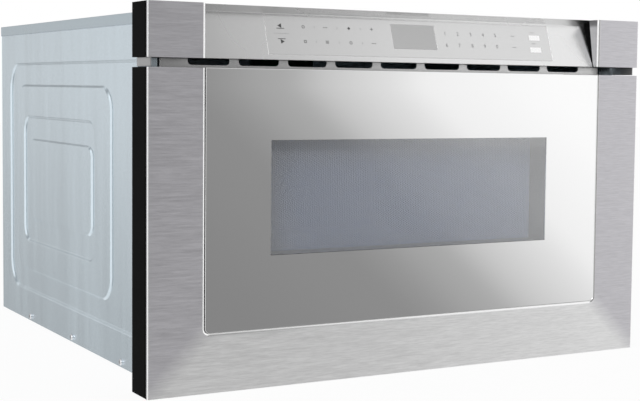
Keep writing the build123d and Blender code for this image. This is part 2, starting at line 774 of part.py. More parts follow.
with BuildPart() as magnetron:
    half_w = magnetron_w / 2
    half_d = magnetron_d / 2
    span_d = (magnetron_mid_d - half_d, magnetron_mid_d + half_d)
    magnetron_top_z = guide_top_z + magnetron_h
    for z in (guide_top_z, magnetron_top_z - magnetron_plate):
        block((-half_w, half_w), span_d, (z, z + magnetron_plate))
    for end in (span_d[0], span_d[1] - magnetron_plate):
        block((-half_w, half_w), (end, end + magnetron_plate), (guide_top_z, magnetron_top_z))
    rod((0, magnetron_mid_d, fan_mid_z), magnetron_core_r, magnetron_h, "Z")
    fin_pitch = (magnetron_h - 2 * magnetron_end) / magnetron_fins
    for index in range(magnetron_fins):
        fin_z = guide_top_z + magnetron_end + (index + 0.5) * fin_pitch
        fin_x = half_w - fin_inset
        block((-fin_x, fin_x), span_d, (fin_z - fin_t / 2, fin_z + fin_t / 2))
    rod((0, magnetron_mid_d, guide_top_z - post_len / 2), post_r, post_len, "Z")
    box_d = (magnetron_mid_d - filter_box_d / 2, magnetron_mid_d + filter_box_d / 2)
    box_z = (magnetron_top_z, magnetron_top_z + filter_box_h)
    block((-filter_box_w / 2, filter_box_w / 2), box_d, box_z)
save(magnetron, "magnetron")

fan_bore_r = fan_w / 2 - fan_wall
fan_arm_back_x = fan_front_x + fan_arm_t
with BuildPart() as fan_housing:
    fan_d = (magnetron_mid_d - fan_w / 2, magnetron_mid_d + fan_w / 2)
    fan_z = (fan_mid_z - fan_w / 2, fan_mid_z + fan_w / 2)
    block((fan_front_x, fan_back_x), fan_d, fan_z)
    rod((fan_mid_x, magnetron_mid_d, fan_mid_z), fan_bore_r, 2 * fan_t, "X", Mode.SUBTRACT)
    # arms across the inlet carry the motor
    arm_x = (fan_front_x, fan_arm_back_x)
    arm_d = (magnetron_mid_d - fan_arm_w / 2, magnetron_mid_d + fan_arm_w / 2)
    arm_z = (fan_mid_z - fan_arm_w / 2, fan_mid_z + fan_arm_w / 2)
    block(arm_x, (fan_d[0] + fan_wall / 2, fan_d[1] - fan_wall / 2), arm_z)
    block(arm_x, arm_d, (fan_z[0] + fan_wall / 2, fan_z[1] - fan_wall / 2))
save(fan_housing, "fan_housing")

with BuildPart() as fan_motor:
    body_x = fan_arm_back_x + fan_motor_len / 2
    rod((body_x, magnetron_mid_d, fan_mid_z), fan_hub_r - fan_end_play, fan_motor_len, "X")
save(fan_motor, "fan_motor")

with BuildPart() as fan_blade:
    hub_x = (fan_arm_back_x + fan_motor_len + fan_end_play, fan_back_x - fan_front_play)
    hub_len = hub_x[1] - hub_x[0]
    hub_mid = (sum(hub_x) / 2, magnetron_mid_d, fan_mid_z)
    rod(hub_mid, fan_hub_r, hub_len, "X")
    blade_len = fan_bore_r - fan_tip_play - fan_hub_r + fan_blade_t
    blade_mid_r = fan_hub_r - fan_blade_t + blade_len / 2
    hub_centre = (hub_mid[0], front_y + hub_mid[1], hub_mid[2])
    with Locations(Plane(origin=hub_centre, x_dir=(0, 1, 0), z_dir=(1, 0, 0))):
        with PolarLocations(blade_mid_r, fan_blades):
            Box(blade_len, hub_len, fan_blade_t, rotation=(fan_blade_turn, 0, 0))
save(fan_blade, "fan_blade")

with BuildPart() as air_duct:
    duct_x = (fan_back_x, -magnetron_w / 2)
    duct_d = (magnetron_mid_d - magnetron_d / 2, magnetron_mid_d + magnetron_d / 2)
    duct_z = (guide_top_z, guide_top_z + magnetron_h)
    block(duct_x, duct_d, duct_z)
    inner_d = (duct_d[0] + duct_wall, duct_d[1] - duct_wall)
    inner_z = (duct_z[0] + duct_wall, duct_z[1] - duct_wall)
    block((duct_x[0] - 1, duct_x[1] + 1), inner_d, inner_z, Mode.SUBTRACT)
save(air_duct, "air_duct")

with BuildPart() as power_transformer:
    core_x = (transformer_x - core_w / 2, transformer_x + core_w / 2)
    core_d = (magnetron_mid_d - core_depth / 2, magnetron_mid_d + core_depth / 2)
    block(core_x, core_d, (floor_top_z, floor_top_z + core_h))
    winding_x = (core_x[0] - winding_over, core_x[1] + winding_over)
    winding_d = (core_d[0] + winding_inset, core_d[1] - winding_inset)
    winding_z = (floor_top_z + winding_low, floor_top_z + winding_low + winding_h)
    block(winding_x, winding_d, winding_z)
save(power_transformer, "power_transformer")

with BuildPart() as high_voltage_capacitor:
    with BuildSketch(Plane.XY.offset(floor_top_z)) as can:
        with Locations((can_x, front_y + magnetron_mid_d)):
            SlotOverall(can_len, can_w, rotation=90)
    extrude(amount=can_h)
    can_top_z = floor_top_z + can_h
    for tab_d in (magnetron_mid_d - can_tab_pitch / 2, magnetron_mid_d + can_tab_pitch / 2):
        tab_x = (can_x - can_tab_w / 2, can_x + can_tab_w / 2)
        block(tab_x, (tab_d - pin_t / 2, tab_d + pin_t / 2), (can_top_z, can_top_z + can_tab_h))
save(high_voltage_capacitor, "high_voltage_capacitor")

with BuildPart() as line_filter_board:
    filter_back_d = case_back_d - case_sheet - filter_stand
    filter_out_x = gland_x - filter_gland_gap
    filter_x = (filter_out_x - filter_w, filter_out_x)
    filter_z = (gland_z - filter_h / 2, gland_z + filter_h / 2)
    block(filter_x, (filter_back_d - board_t, filter_back_d), filter_z)
    for x in (filter_x[0] + filter_post_in, filter_x[1] - filter_post_in):
        for z in (filter_z[0] + filter_post_in, filter_z[1] - filter_post_in):
            rod((x, filter_back_d + filter_stand / 2, z), filter_post_r, filter_stand, "Y")
    part_d = filter_back_d - board_t
    rod((filter_x[0] + coil_in, part_d - coil_h / 2, gland_z), coil_r, coil_h, "Y")
    relay_x = (filter_x[1] - relay_in - relay_w, filter_x[1] - relay_in)
    relay_z = (gland_z - relay_h / 2, gland_z + relay_h / 2)
    block(relay_x, (part_d - relay_t, part_d), relay_z)
save(line_filter_board, "line_filter_board")

with BuildPart() as power_inlet:
    rod((gland_x, case_back_d - gland_len / 2, gland_z), gland_r, gland_len, "Y")
    flange_mid_d = (case_back_d + overall_d) / 2
    rod((gland_x, flange_mid_d, gland_z), gland_r + gland_flange, overall_d - case_back_d, "Y")
    rod((gland_x, case_back_d, gland_z), cord_bore_r, 4 * gland_len, "Y", Mode.SUBTRACT)
save(power_inlet, "power_inlet")

with BuildPart() as oven_lamp:
    lamp_x = cavity_half + cavity_sheet
    lamp_d = antenna_d + lamp_back
    lamp_z = cavity_top_z - lamp_drop
    half_plate = lamp_plate / 2
    plate_d = (lamp_d - half_plate, lamp_d + half_plate)
    plate_z = (lamp_z - half_plate, lamp_z + half_plate)
    holder_x = lamp_x + lamp_plate_t
    pins_x = holder_x + lamp_len
    block((lamp_x, holder_x), plate_d, plate_z)
    rod(((holder_x + pins_x) / 2, lamp_d, lamp_z), lamp_r, lamp_len, "X")
    for pin_d in (lamp_d - lamp_pin_pitch / 2, lamp_d + lamp_pin_pitch / 2):
        pin_z = (lamp_z - lamp_pin_w / 2, lamp_z + lamp_pin_w / 2)
        block((pins_x, pins_x + lamp_pin_len), (pin_d - pin_t / 2, pin_d + pin_t / 2), pin_z)
save(oven_lamp, "oven_lamp")

with BuildPart() as thermal_cutout:
    tube_d = magnetron_mid_d + filter_box_d / 2 + cutout_gap + cutout_r
    rod((cutout_x, antenna_d, cavity_top_z + cavity_sheet + cutout_h / 2), cutout_r, cutout_h, "Z")
    rod((0, tube_d, magnetron_top_z + cutout_h / 2), cutout_r, cutout_h, "Z")
save(thermal_cutout, "thermal_cutout")

with BuildPart() as interlock_switches:
    switch_x = (tongue_x + tongue_t + switch_play, rail_out_x + rail_case_gap - switch_play)
    switch_d = (frame_back_d, frame_back_d + switch_len)
    for side, up in ((1, 0), (1, switch_pitch), (-1, 0)):
        switch_z = (tongue_z + up - switch_h / 2, tongue_z + up + switch_h / 2)
        block(pair(side, *switch_x), switch_d, switch_z)
save(interlock_switches, "interlock_switches")

# ---------------------------------------------------------------- rails
rail_front_d = frame_back_d + rail_front_gap
rail_d = (rail_front_d, rail_front_d + rail_len)


def channel(side, web, flange_end, height, depth):
    """A rolled rail member: a web and two flanges that open towards flange_end."""
    half = height / 2
    block(pair(side, *web), depth, (rail_z - half, rail_z + half))
    flange_x = pair(side, (web[0] + web[1]) / 2, flange_end)
    for z in (rail_z - half, rail_z + half - rail_sheet):
        block(flange_x, depth, (z, z + rail_sheet))


middle_h = rail_h - 2 * (rail_sheet + rail_play)
inner_h = middle_h - 2 * (rail_sheet + rail_play)
outer_web = (rail_out_x - rail_sheet, rail_out_x)
middle_web = (outer_web[0] - rail_play - rail_sheet, outer_web[0] - rail_play)
inner_web = (rail_in_x, rail_in_x + rail_sheet)
for side, word in SIDES:
    with BuildPart() as rail_outer:
        channel(side, outer_web, rail_in_x + outer_lip, rail_h, rail_d)
    save(rail_outer, f"rail_outer_{word}")

    with BuildPart() as rail_middle:
        channel(side, middle_web, rail_in_x + middle_lip, middle_h, rail_d)
    save(rail_middle, f"rail_middle_{word}")

    with BuildPart() as rail_inner:
        channel(side, inner_web, middle_web[0] - rail_play, inner_h, rail_d)
    save(rail_inner, f"rail_inner_{word}")

with BuildPart() as rail_brackets:
    for side, _ in SIDES:
        for depth in (rail_d[0] + rail_bracket_front, rail_d[1] - rail_bracket_back):
            plate_x = pair(side, rail_out_x, rail_out_x + rail_bracket_t)
            span_d = (depth, depth + rail_bracket_w)
            block(plate_x, span_d, (floor_top_z, rail_z + rail_h / 2))
            foot_x = pair(side, rail_in_x, rail_out_x + rail_bracket_t)
            block(foot_x, span_d, (floor_top_z, floor_top_z + rail_bracket_t))
save(rail_brackets, "rail_brackets")

with BuildPart() as door_arms:
    arm_z = (rail_z - inner_h / 2, rail_z + inner_h / 2)
    for side, _ in SIDES:
        plate_x = pair(side, rail_in_x - arm_in, rail_out_x + arm_out)
        block(plate_x, (web_back_d, web_back_d + arm_t), arm_z)
        ear_x = pair(side, rail_in_x - rail_bracket_t, rail_in_x)
        block(ear_x, (web_back_d, web_back_d + arm_len), arm_z)
save(door_arms, "door_arms")

with BuildPart() as latch_tongues:
    blade_z = (tongue_z - tongue_h / 2, tongue_z + tongue_h / 2)
    notch_d = (web_back_d + notch_back, web_back_d + notch_back + notch_len)
    for side, _ in SIDES:
        blade_x = pair(side, tongue_x, tongue_x + tongue_t)
        block(blade_x, (web_back_d, web_back_d + tongue_len), blade_z)
        foot_x = pair(side, tongue_x - arm_in, tongue_x - arm_in + tongue_base)
        block(foot_x, (web_back_d, web_back_d + arm_t), blade_z)
        # the hook notch near the tip
        block(blade_x, notch_d, (blade_z[1] - notch_deep, blade_z[1] + 1), Mode.SUBTRACT)
save(latch_tongues, "latch_tongues")

# ---------------------------------------------------------------- drive


def gear_outline(size, teeth, turn, axis_d, axis_z):
    """Points of a spur gear on an axis along X, with one tooth pointing at turn degrees."""
    pitch_r = size * teeth / 2
    slant = radians(pressure_angle)
    base_r = pitch_r * cos(slant)
    tip_r = pitch_r + addendum * size
    root_r = pitch_r - dedendum * size
    half = pi / (2 * teeth) - tooth_play / (2 * pitch_r) + tan(slant) - slant
    radii = [root_r] + [base_r + (tip_r - base_r) * step / 4 for step in range(5)]
    flank = []
    for r in sorted(radii):
        roll = sqrt(max((r / base_r) ** 2 - 1, 0))
        flank.append((r, half - (roll - atan2(roll, 1))))
    points = []
    for tooth in range(teeth):
        middle = radians(turn) + 2 * pi * tooth / teeth
        corners = [(r, middle - offset) for r, offset in flank]
        corners += [(r, middle + offset) for r, offset in reversed(flank)]
        for r, angle in corners:
            points.append((front_y + axis_d + r * cos(angle), axis_z + r * sin(angle)))
    return points


def gear(outline, x):
    """Add a toothed disc over a span across the object, given its outline."""
    with BuildSketch(Plane.YZ.offset(x[0])) as teeth_face:
        with BuildLine() as edge:
            Polyline(*outline, close=True)
        make_face()
    extrude(teeth_face.sketch, amount=x[1] - x[0])


rack_pitch = pi * module
rack_span_x = (rack_x - rack_w / 2, rack_x + rack_w / 2)
wheel_x = (rack_span_x[1] + wheel_gap, rack_span_x[1] + wheel_gap + gear_w)
motor_gear_d = pinion_d + gear_module * (wheel_teeth + motor_teeth) / 2
plate_left_x = rack_span_x[0] - rack_plate_gap
plate_right_x = wheel_x[1] + wheel_plate_gap

with BuildPart() as drive_rack:
    half_tooth = rack_pitch / 4 - tooth_play / 2
    tip_half = half_tooth - addendum * module * tan(radians(pressure_angle))
    root_half = half_tooth + dedendum * module * tan(radians(pressure_angle))
    tip_z = pitch_line_z - addendum * module
    root_z = pitch_line_z + dedendum * module
    rack_front_y = front_y + web_back_d
    rack_back_y = rack_front_y + rack_len
    rack_points = [(rack_front_y, rack_top_z), (rack_front_y, root_z)]
    # teeth from about four in front of the pinion to the back end
    last_tooth = int((rack_back_y - front_y - pinion_d) / rack_pitch) - 1
    for tooth in range(-4, last_tooth):
        middle = front_y + pinion_d + (tooth + 0.5) * rack_pitch
        rack_points += [(middle - root_half, root_z), (middle - tip_half, tip_z)]
        rack_points += [(middle + tip_half, tip_z), (middle + root_half, root_z)]
    rack_points += [(rack_back_y, root_z), (rack_back_y, rack_top_z)]
    with BuildSketch(Plane.YZ.offset(rack_span_x[0])) as rack_profile:
        with BuildLine() as edge:
            Polyline(*rack_points, close=True)
        make_face()
    extrude(amount=rack_w)
    # end plate that bolts to the back of the door
    foot_x = (rack_x - rack_foot_w / 2, rack_x + rack_foot_w / 2)
    block(foot_x, (web_back_d, web_back_d + rack_foot_t), (root_z, rack_top_z))
save(drive_rack, "drive_rack")

with BuildPart() as pinion_shaft:
    gear(gear_outline(module, pinion_teeth, 90, pinion_d, pinion_z), rack_span_x)
    gear(gear_outline(gear_module, wheel_teeth, 90, pinion_d, pinion_z), wheel_x)
    shaft_x = (plate_left_x - drive_plate_t - shaft_over, plate_right_x + drive_plate_t + shaft_over)
    rod((sum(shaft_x) / 2, pinion_d, pinion_z), shaft_r, shaft_x[1] - shaft_x[0], "X")
save(pinion_shaft, "pinion_shaft")

with BuildPart() as motor_gear:
    gear(gear_outline(gear_module, motor_teeth, 180, motor_gear_d, pinion_z), wheel_x)
    stub_x = (wheel_x[0] - motor_shaft_play, plate_right_x + drive_plate_t - motor_shaft_play)
    rod((sum(stub_x) / 2, motor_gear_d, pinion_z), motor_shaft_r, stub_x[1] - stub_x[0], "X")
save(motor_gear, "motor_gear")

with BuildPart() as drive_bracket:
    span_d = (pinion_d - drive_plate_over, motor_gear_d + drive_plate_over)
    foot_x = (plate_left_x - drive_plate_t, plate_right_x + drive_plate_t)
    block(foot_x, span_d, (floor_top_z, floor_top_z + drive_plate_t))
    for x in (plate_left_x - drive_plate_t, plate_right_x):
        block((x, x + drive_plate_t), span_d, (floor_top_z, pinion_z + drive_plate_up))
    bearing_mid = (sum(foot_x) / 2, pinion_d, pinion_z)
    rod(bearing_mid, shaft_r + bearing_play, shaft_x[1] - shaft_x[0], "X", Mode.SUBTRACT)
    motor_hole_mid = (plate_right_x, motor_gear_d, pinion_z)
    rod(motor_hole_mid, motor_shaft_r + motor_shaft_play, 4 * drive_plate_t, "X", Mode.SUBTRACT)
save(drive_bracket, "drive_bracket")

with BuildPart() as drive_motor:
    motor_start_x = plate_right_x + drive_plate_t
    motor_mid_x = motor_start_x + motor_len / 2
    rod((motor_mid_x, motor_gear_d, pinion_z), motor_r, motor_len, "X")
    box_d = (motor_gear_d - gearbox_front, motor_gear_d + gearbox_back)
    box_z = (pinion_z - gearbox_half, pinion_z + gearbox_half)
    block((motor_start_x, motor_start_x + gearbox_len), box_d, box_z)
save(drive_motor, "drive_motor")

# ---------------------------------------------------------------- door
glass_low_z = face_low_z + glass_foot
glass_half = stile_in - glass_clear
door_front_plane = Plane.XZ.offset(-front_y)

with BuildPart() as door_frame:
    block((-half_face, half_face), (0, front_sheet), (face_low_z, door_top_z))
    for side, _ in SIDES:
        block(pair(side, half_face - front_sheet, half_face), (0, edge_return), (face_low_z, door_top_z))
    for z in (face_low_z, door_top_z - front_sheet):
        block((-half_face, half_face), (0, edge_return), (z, z + front_sheet))
    with BuildSketch(door_front_plane.offset(1)) as opening:
        opening_h = door_top_z - glass_low_z + 2 * glass_corner_r
        with Locations((0, glass_low_z + opening_h / 2)):
            RectangleRounded(2 * stile_in, opening_h, glass_corner_r)
    extrude(amount=-2 * edge_return, mode=Mode.SUBTRACT)
    outer_edges = door_frame.edges().filter_by(Axis.Z).group_by(Axis.Y)[0]
    fillet(outer_edges.sort_by(Axis.X)[0], edge_r)
    outer_edges = door_frame.edges().filter_by(Axis.Z).group_by(Axis.Y)[0]
    fillet(outer_edges.sort_by(Axis.X)[-1], edge_r)
save(door_frame, "door_frame")

with BuildPart() as door_glass:
    with BuildSketch(door_front_plane) as pane_outline:
        with BuildLine() as edge:
            low = glass_low_z + glass_clear
            FilletPolyline(
                (-glass_half, door_top_z), (-glass_half, low), (glass_half, low),
                (glass_half, door_top_z), radius=glass_corner_r,
            )
            Line((glass_half, door_top_z), (-glass_half, door_top_z))
        make_face()
    extrude(amount=-glass_t)
    front_face = door_glass.faces().sort_by(Axis.Y)[0]
    chamfer(front_face.edges(), glass_bevel)
save(door_glass, "door_glass")

with BuildPart() as door_casing:
    casing_in = half_face - trim_wall
    for side, _ in SIDES:
        block(pair(side, casing_in, half_face), (edge_return, trim_d), (face_low_z, door_top_z))
    for z in (face_low_z, door_top_z - trim_wall):
        block((-casing_in, casing_in), (glass_t, web_back_d), (z, z + trim_wall))
        for side, _ in SIDES:
            block(pair(side, stile_in, casing_in), (edge_return, glass_t), (z, z + trim_wall))
    choke_half = cavity_half + choke_w
    choke_z = (cavity_z - choke_w, cavity_top_z + choke_w)
    web_d = (web_back_d - web_t, web_back_d)
    block((-casing_in, casing_in), web_d, (face_low_z, door_top_z))
    web_open_z = (choke_z[0], door_top_z - trim_wall)
    block((-choke_half, choke_half), (web_d[0] - 1, web_d[1] + 1), web_open_z, Mode.SUBTRACT)
save(door_casing, "door_casing")

window_half = stile_in - window_side
window_zs = (glass_low_z + window_under, door_top_z - window_over)
pane_d = (choke_d - choke_t - pane_t, choke_d - choke_t)
screen_d = (pane_d[0] - screen_t, pane_d[0])
with BuildPart() as window_tunnel:
    rim_x = window_half + tunnel_rim
    rim_z = (window_zs[0] - tunnel_rim, window_zs[1] + tunnel_rim)
    block((-rim_x, rim_x), (glass_t, glass_t + tunnel_wall), rim_z)
    wall_x = window_half + tunnel_wall
    wall_z = (window_zs[0] - tunnel_wall, window_zs[1] + tunnel_wall)
    block((-wall_x, wall_x), (glass_t, screen_d[0]), wall_z)
    block((-window_half, window_half), (glass_t - 1, screen_d[0] + 1), window_zs, Mode.SUBTRACT)
save(window_tunnel, "window_tunnel")

pane_x = window_half + pane_rim
pane_z = (window_zs[0] - pane_rim, window_zs[1] + pane_rim)
with BuildPart() as window_screen:
    block((-pane_x, pane_x), screen_d, pane_z)
save(window_screen, "window_screen")

with BuildPart() as inner_window:
    block((-pane_x, pane_x), pane_d, pane_z)
save(inner_window, "inner_window")

view_half = window_half - view_step
view_z = (window_zs[0] + view_step, window_zs[1] - view_step)
with BuildPart() as choke_frame:
    choke_front_d = choke_d - choke_depth
    block((-choke_half, choke_half), (choke_front_d, choke_d), choke_z)
    # the channel, open to the back between the inner plate and the outer lip
    channel_x = choke_half - choke_t
    channel_z = (choke_z[0] + choke_t, choke_z[1] - choke_t)
    void_d = (choke_front_d + choke_t, choke_d + 1)
    block((-channel_x, channel_x), void_d, channel_z, Mode.SUBTRACT)
    block((-cavity_half, cavity_half), (choke_front_d, choke_d), (cavity_z, cavity_top_z))
    hollow_x = cavity_half - choke_t
    hollow_z = (cavity_z + choke_t, cavity_top_z - choke_t)
    block((-hollow_x, hollow_x), (choke_front_d - 1, choke_d - choke_t), hollow_z, Mode.SUBTRACT)
    # folded outer lip
    lip_d = (choke_d - choke_t, choke_d)
    for side, _ in SIDES:
        block(pair(side, choke_half - choke_lip, choke_half), lip_d, choke_z)
    for z in (choke_z[0], choke_z[1] - choke_lip):
        block((-choke_half, choke_half), lip_d, (z, z + choke_lip))
    block((-view_half, view_half), (choke_front_d, choke_d + 1), view_z, Mode.SUBTRACT)
save(choke_frame, "choke_frame")

# ---------------------------------------------------------------- drawer bin
bin_half = cavity_half - bin_side_gap
bin_back_d = cavity_back_d - bin_back_gap
bin_z = cavity_z + bin_up
bin_top_z = cavity_top_z - bin_drop
with BuildPart() as drawer_bin:
    block((-bin_half, bin_half), (choke_d, bin_back_d), (bin_z, bin_top_z))
    inside_x = bin_half - bin_sheet
    inside_d = (choke_d + bin_sheet, bin_back_d - bin_sheet)
    block((-inside_x, inside_x), inside_d, (bin_z + bin_sheet, bin_top_z + 1), Mode.SUBTRACT)
    ledge_x = inside_x - bin_ledge
    ledge_d = (inside_d[0] + bin_ledge, inside_d[1] - bin_ledge)
    block((-ledge_x, ledge_x), ledge_d, (bin_z - 1, bin_z + bin_sheet + 1), Mode.SUBTRACT)
    block((-view_half, view_half), (choke_d - 1, choke_d + bin_sheet + 1), view_z, Mode.SUBTRACT)
save(drawer_bin, "drawer_bin")

with BuildPart() as glass_tray:
    tray_x = inside_x - tray_clear
    tray_d = (inside_d[0] + tray_clear, inside_d[1] - tray_clear)
    tray_z = bin_z + bin_sheet
    block((-tray_x, tray_x), tray_d, (tray_z, tray_z + tray_t))
save(glass_tray, "glass_tray")

# ---------------------------------------------------------------- case screws
with BuildPart() as case_screws:
    for centre, axis, toward in screw_places():
        step = {"X": (toward, 0, 0), "Y": (0, toward, 0)}[axis]
        head = tuple(c + s * screw_head_h / 2 for c, s in zip(centre, step))
        shank = tuple(c - s * screw_len / 2 for c, s in zip(centre, step))
        rod(head, screw_head_r, screw_head_h, axis)
        rod(shank, screw_r, screw_len, axis)
save(case_screws, "case_screws")
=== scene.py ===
"""Dresses a built-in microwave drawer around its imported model, and sets a studio for it.

Sizes are in metres, +Z up. The front of the drawer faces -Y, and a depth is counted back
from that front face.
"""

from __future__ import annotations

import json
import logging
import math
from collections.abc import Callable, Iterator, Sequence
from contextlib import contextmanager
from dataclasses import dataclass
from enum import Enum

import bmesh
import bpy
from mathutils import Euler, Matrix, Vector


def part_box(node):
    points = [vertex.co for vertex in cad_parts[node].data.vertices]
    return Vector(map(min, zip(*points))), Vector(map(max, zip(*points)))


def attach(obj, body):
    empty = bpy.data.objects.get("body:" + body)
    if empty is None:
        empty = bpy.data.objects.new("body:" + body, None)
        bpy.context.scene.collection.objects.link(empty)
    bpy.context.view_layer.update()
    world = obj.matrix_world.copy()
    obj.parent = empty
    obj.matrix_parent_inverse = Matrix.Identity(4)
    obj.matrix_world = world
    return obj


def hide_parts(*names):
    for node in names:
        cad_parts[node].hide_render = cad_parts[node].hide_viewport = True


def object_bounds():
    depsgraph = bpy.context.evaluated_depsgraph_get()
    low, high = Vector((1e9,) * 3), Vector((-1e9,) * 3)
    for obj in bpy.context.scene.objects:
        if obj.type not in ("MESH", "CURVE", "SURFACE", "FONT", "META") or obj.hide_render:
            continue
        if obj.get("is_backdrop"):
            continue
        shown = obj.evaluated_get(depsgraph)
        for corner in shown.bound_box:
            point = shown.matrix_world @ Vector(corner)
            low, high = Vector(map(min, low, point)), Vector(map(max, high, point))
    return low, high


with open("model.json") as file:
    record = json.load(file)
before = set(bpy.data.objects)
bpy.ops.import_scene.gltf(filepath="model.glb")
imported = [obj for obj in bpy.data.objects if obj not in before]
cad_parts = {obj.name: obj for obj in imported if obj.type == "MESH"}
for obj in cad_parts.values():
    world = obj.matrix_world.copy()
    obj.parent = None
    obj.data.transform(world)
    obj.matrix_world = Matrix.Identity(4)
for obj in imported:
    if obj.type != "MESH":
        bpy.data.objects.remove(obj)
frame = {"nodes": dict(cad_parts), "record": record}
CAD_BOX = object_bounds()
NODES = frame["nodes"]
BODIES = frame["record"]["behaviour"]["bodies"]
NODE_BODY = {node: body for body, group in BODIES.items() for node in group}
log = logging.getLogger("drawer")

MM = 0.001
MICRON = 1e-6
# Two places closer than this are the same
HAIR = 1e-6
FRONT_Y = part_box("door_frame")[0].y
SIDES = ((-1, "left"), (1, "right"))
Piece = bpy.types.Object
Socket = bpy.types.NodeSocket
Pair = tuple[float, float]
Triple = tuple[float, float, float]
# Takes the centre and normal of a face, or the two ends of an edge
PairTest = Callable[[Vector, Vector], bool]


def grey(level: float) -> Triple:
    """A colour with as much red as green and blue."""
    return level, level, level


class Slot(Enum):
    """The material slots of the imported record."""

    FRONT = "brushed_front"
    ZINC = "galvanised"
    BLACK = "black_plastic"
    MIRROR = "mirror_glass"
    CLEAR = "clear_glass"
    PANEL = "panel_steel"
    TOUCH = "touch_glass"
    DISPLAY = "display"
    SCREEN = "screen"
    ENAMEL = "grey_enamel"
    RAIL = "rail_steel"
    NYLON = "white_nylon"
    BOARD = "board"
    ALLOY = "cast_alloy"
    IRON = "core_iron"
    CAN = "motor_case"
    RUBBER = "feet_rubber"
    CERAMIC = "ceramic"
    MICA = "mica"
    SCREW = "screw_steel"


class Texture(Enum):
    """The surface effects that finishes share, each one node group."""

    GRAIN = "brushing_lines"
    ZINC = "zinc_coating"
    MOULDED = "moulded_skin"
    CLOUD = "soft_clouding"


# ---------------------------------------------------------------- node trees
class NodeBoard:
    """Adds and joins the nodes of one tree, each a step to the right of the last."""

    STEP = 190.0
    # Places of the share and of the two colours among the inputs of a colour Mix node
    COLOUR_MIX = (0, 6, 7)

    def __init__(self, tree: bpy.types.NodeTree) -> None:
        """Start on a tree.

        Args:
            tree: The node tree to work on.
        """
        self.tree = tree
        self.count = 0

    def add(self, kind: str, values: dict | None = None, **settings: object) -> bpy.types.Node:
        """Add a node.

        Args:
            kind: Node type without its ShaderNode prefix, or a full type name.
            values: Input values, by socket name or index.
            settings: Properties of the node.

        Returns:
            The new node.
        """
        full = kind if kind.startswith("Node") else "ShaderNode" + kind
        node = self.tree.nodes.new(full)
        node.location = (self.count * self.STEP, 0)
        self.count += 1
        for key, value in settings.items():
            setattr(node, key, value)
        for key, value in (values or {}).items():
            node.inputs[key].default_value = value
        return node

    def join(self, source: Socket, target: Socket) -> None:
        """Link an output to an input."""
        self.tree.links.new(source, target)

    def feed(self, value: Socket | float | Triple, target: Socket) -> None:
        """Link an output to an input, or set the input to a number or a colour."""
        if isinstance(value, Socket):
            self.join(value, target)
        elif isinstance(value, float):
            target.default_value = value
        else:
            target.default_value = (*value, 1.0)

    def noise(self, vector: Socket, stretch: Sequence[float], detail: float) -> Socket:
        """Noise whose cells are stretched along the axes.

        Args:
            vector: Where the pattern is read.
            stretch: Cells per metre along X, Y and Z.
            detail: Finer layers of the noise.

        Returns:
            The noise's value output.
        """
        spread = self.add("Mapping", {"Scale": stretch})
        self.join(vector, spread.inputs["Vector"])
        cells = self.add("TexNoise", {"Scale": 1.0, "Detail": detail, "Roughness": 0.55})
        self.join(spread.outputs["Vector"], cells.inputs["Vector"])
        return cells.outputs["Fac"]

    def mix(self, share: Socket | float, first: Socket | Triple, second: Socket | Triple,
            **settings: object) -> Socket:
        """Mix two colours.

        Args:
            share: Share of the second, a number or an output.
            first: First colour, or an output.
            second: Second colour, or an output.
            settings: Properties of the node.

        Returns:
            The mixed output.
        """
        node = self.add("Mix", data_type="RGBA", **settings)
        for place, value in zip(self.COLOUR_MIX, (share, first, second)):
            self.feed(value, node.inputs[place])
        return node.outputs[2]

    def spread(self, value: Socket, low: Socket | float, high: Socket | float,
               clip: Pair = (0.25, 0.75)) -> Socket:
        """Map a value onto a range.

        Args:
            value: The value, mostly inside clip.
            low: Result at the lower end, a number or an output.
            high: Result at the upper end, a number or an output.
            clip: The ends of the value that count.

        Returns:
            The mapped output.
        """
        ranged = self.add("MapRange", {"From Min": clip[0], "From Max": clip[1]})
        self.join(value, ranged.inputs["Value"])
        self.feed(low, ranged.inputs["To Min"])
        self.feed(high, ranged.inputs["To Max"])
        return ranged.outputs["Result"]

    def reckon(self, kind: str, *values: Socket | float) -> Socket:
        """Work out a sum with one Math node.

        Args:
            kind: The Math node's operation.
            values: Its values, each a number or an output.

        Returns:
            The result's output.
        """
        node = self.add("Math", operation=kind)
        for value, place in zip(values, node.inputs):
            self.feed(value, place)
        return node.outputs[0]


@dataclass(frozen=True)
class Pattern:
    """The two noises of a texture, by their cells per metre along X, Y and Z.

    Args:
        fine: Cells of the fine noise, which is also the relief.
        fine_detail: Its finer layers.
        broad: Cells of the broad noise.
        broad_detail: Its finer layers.
        broad_share: Its share in the shade.
    """

    fine: Triple
    fine_detail: float
    broad: Triple
    broad_detail: float
    broad_share: float


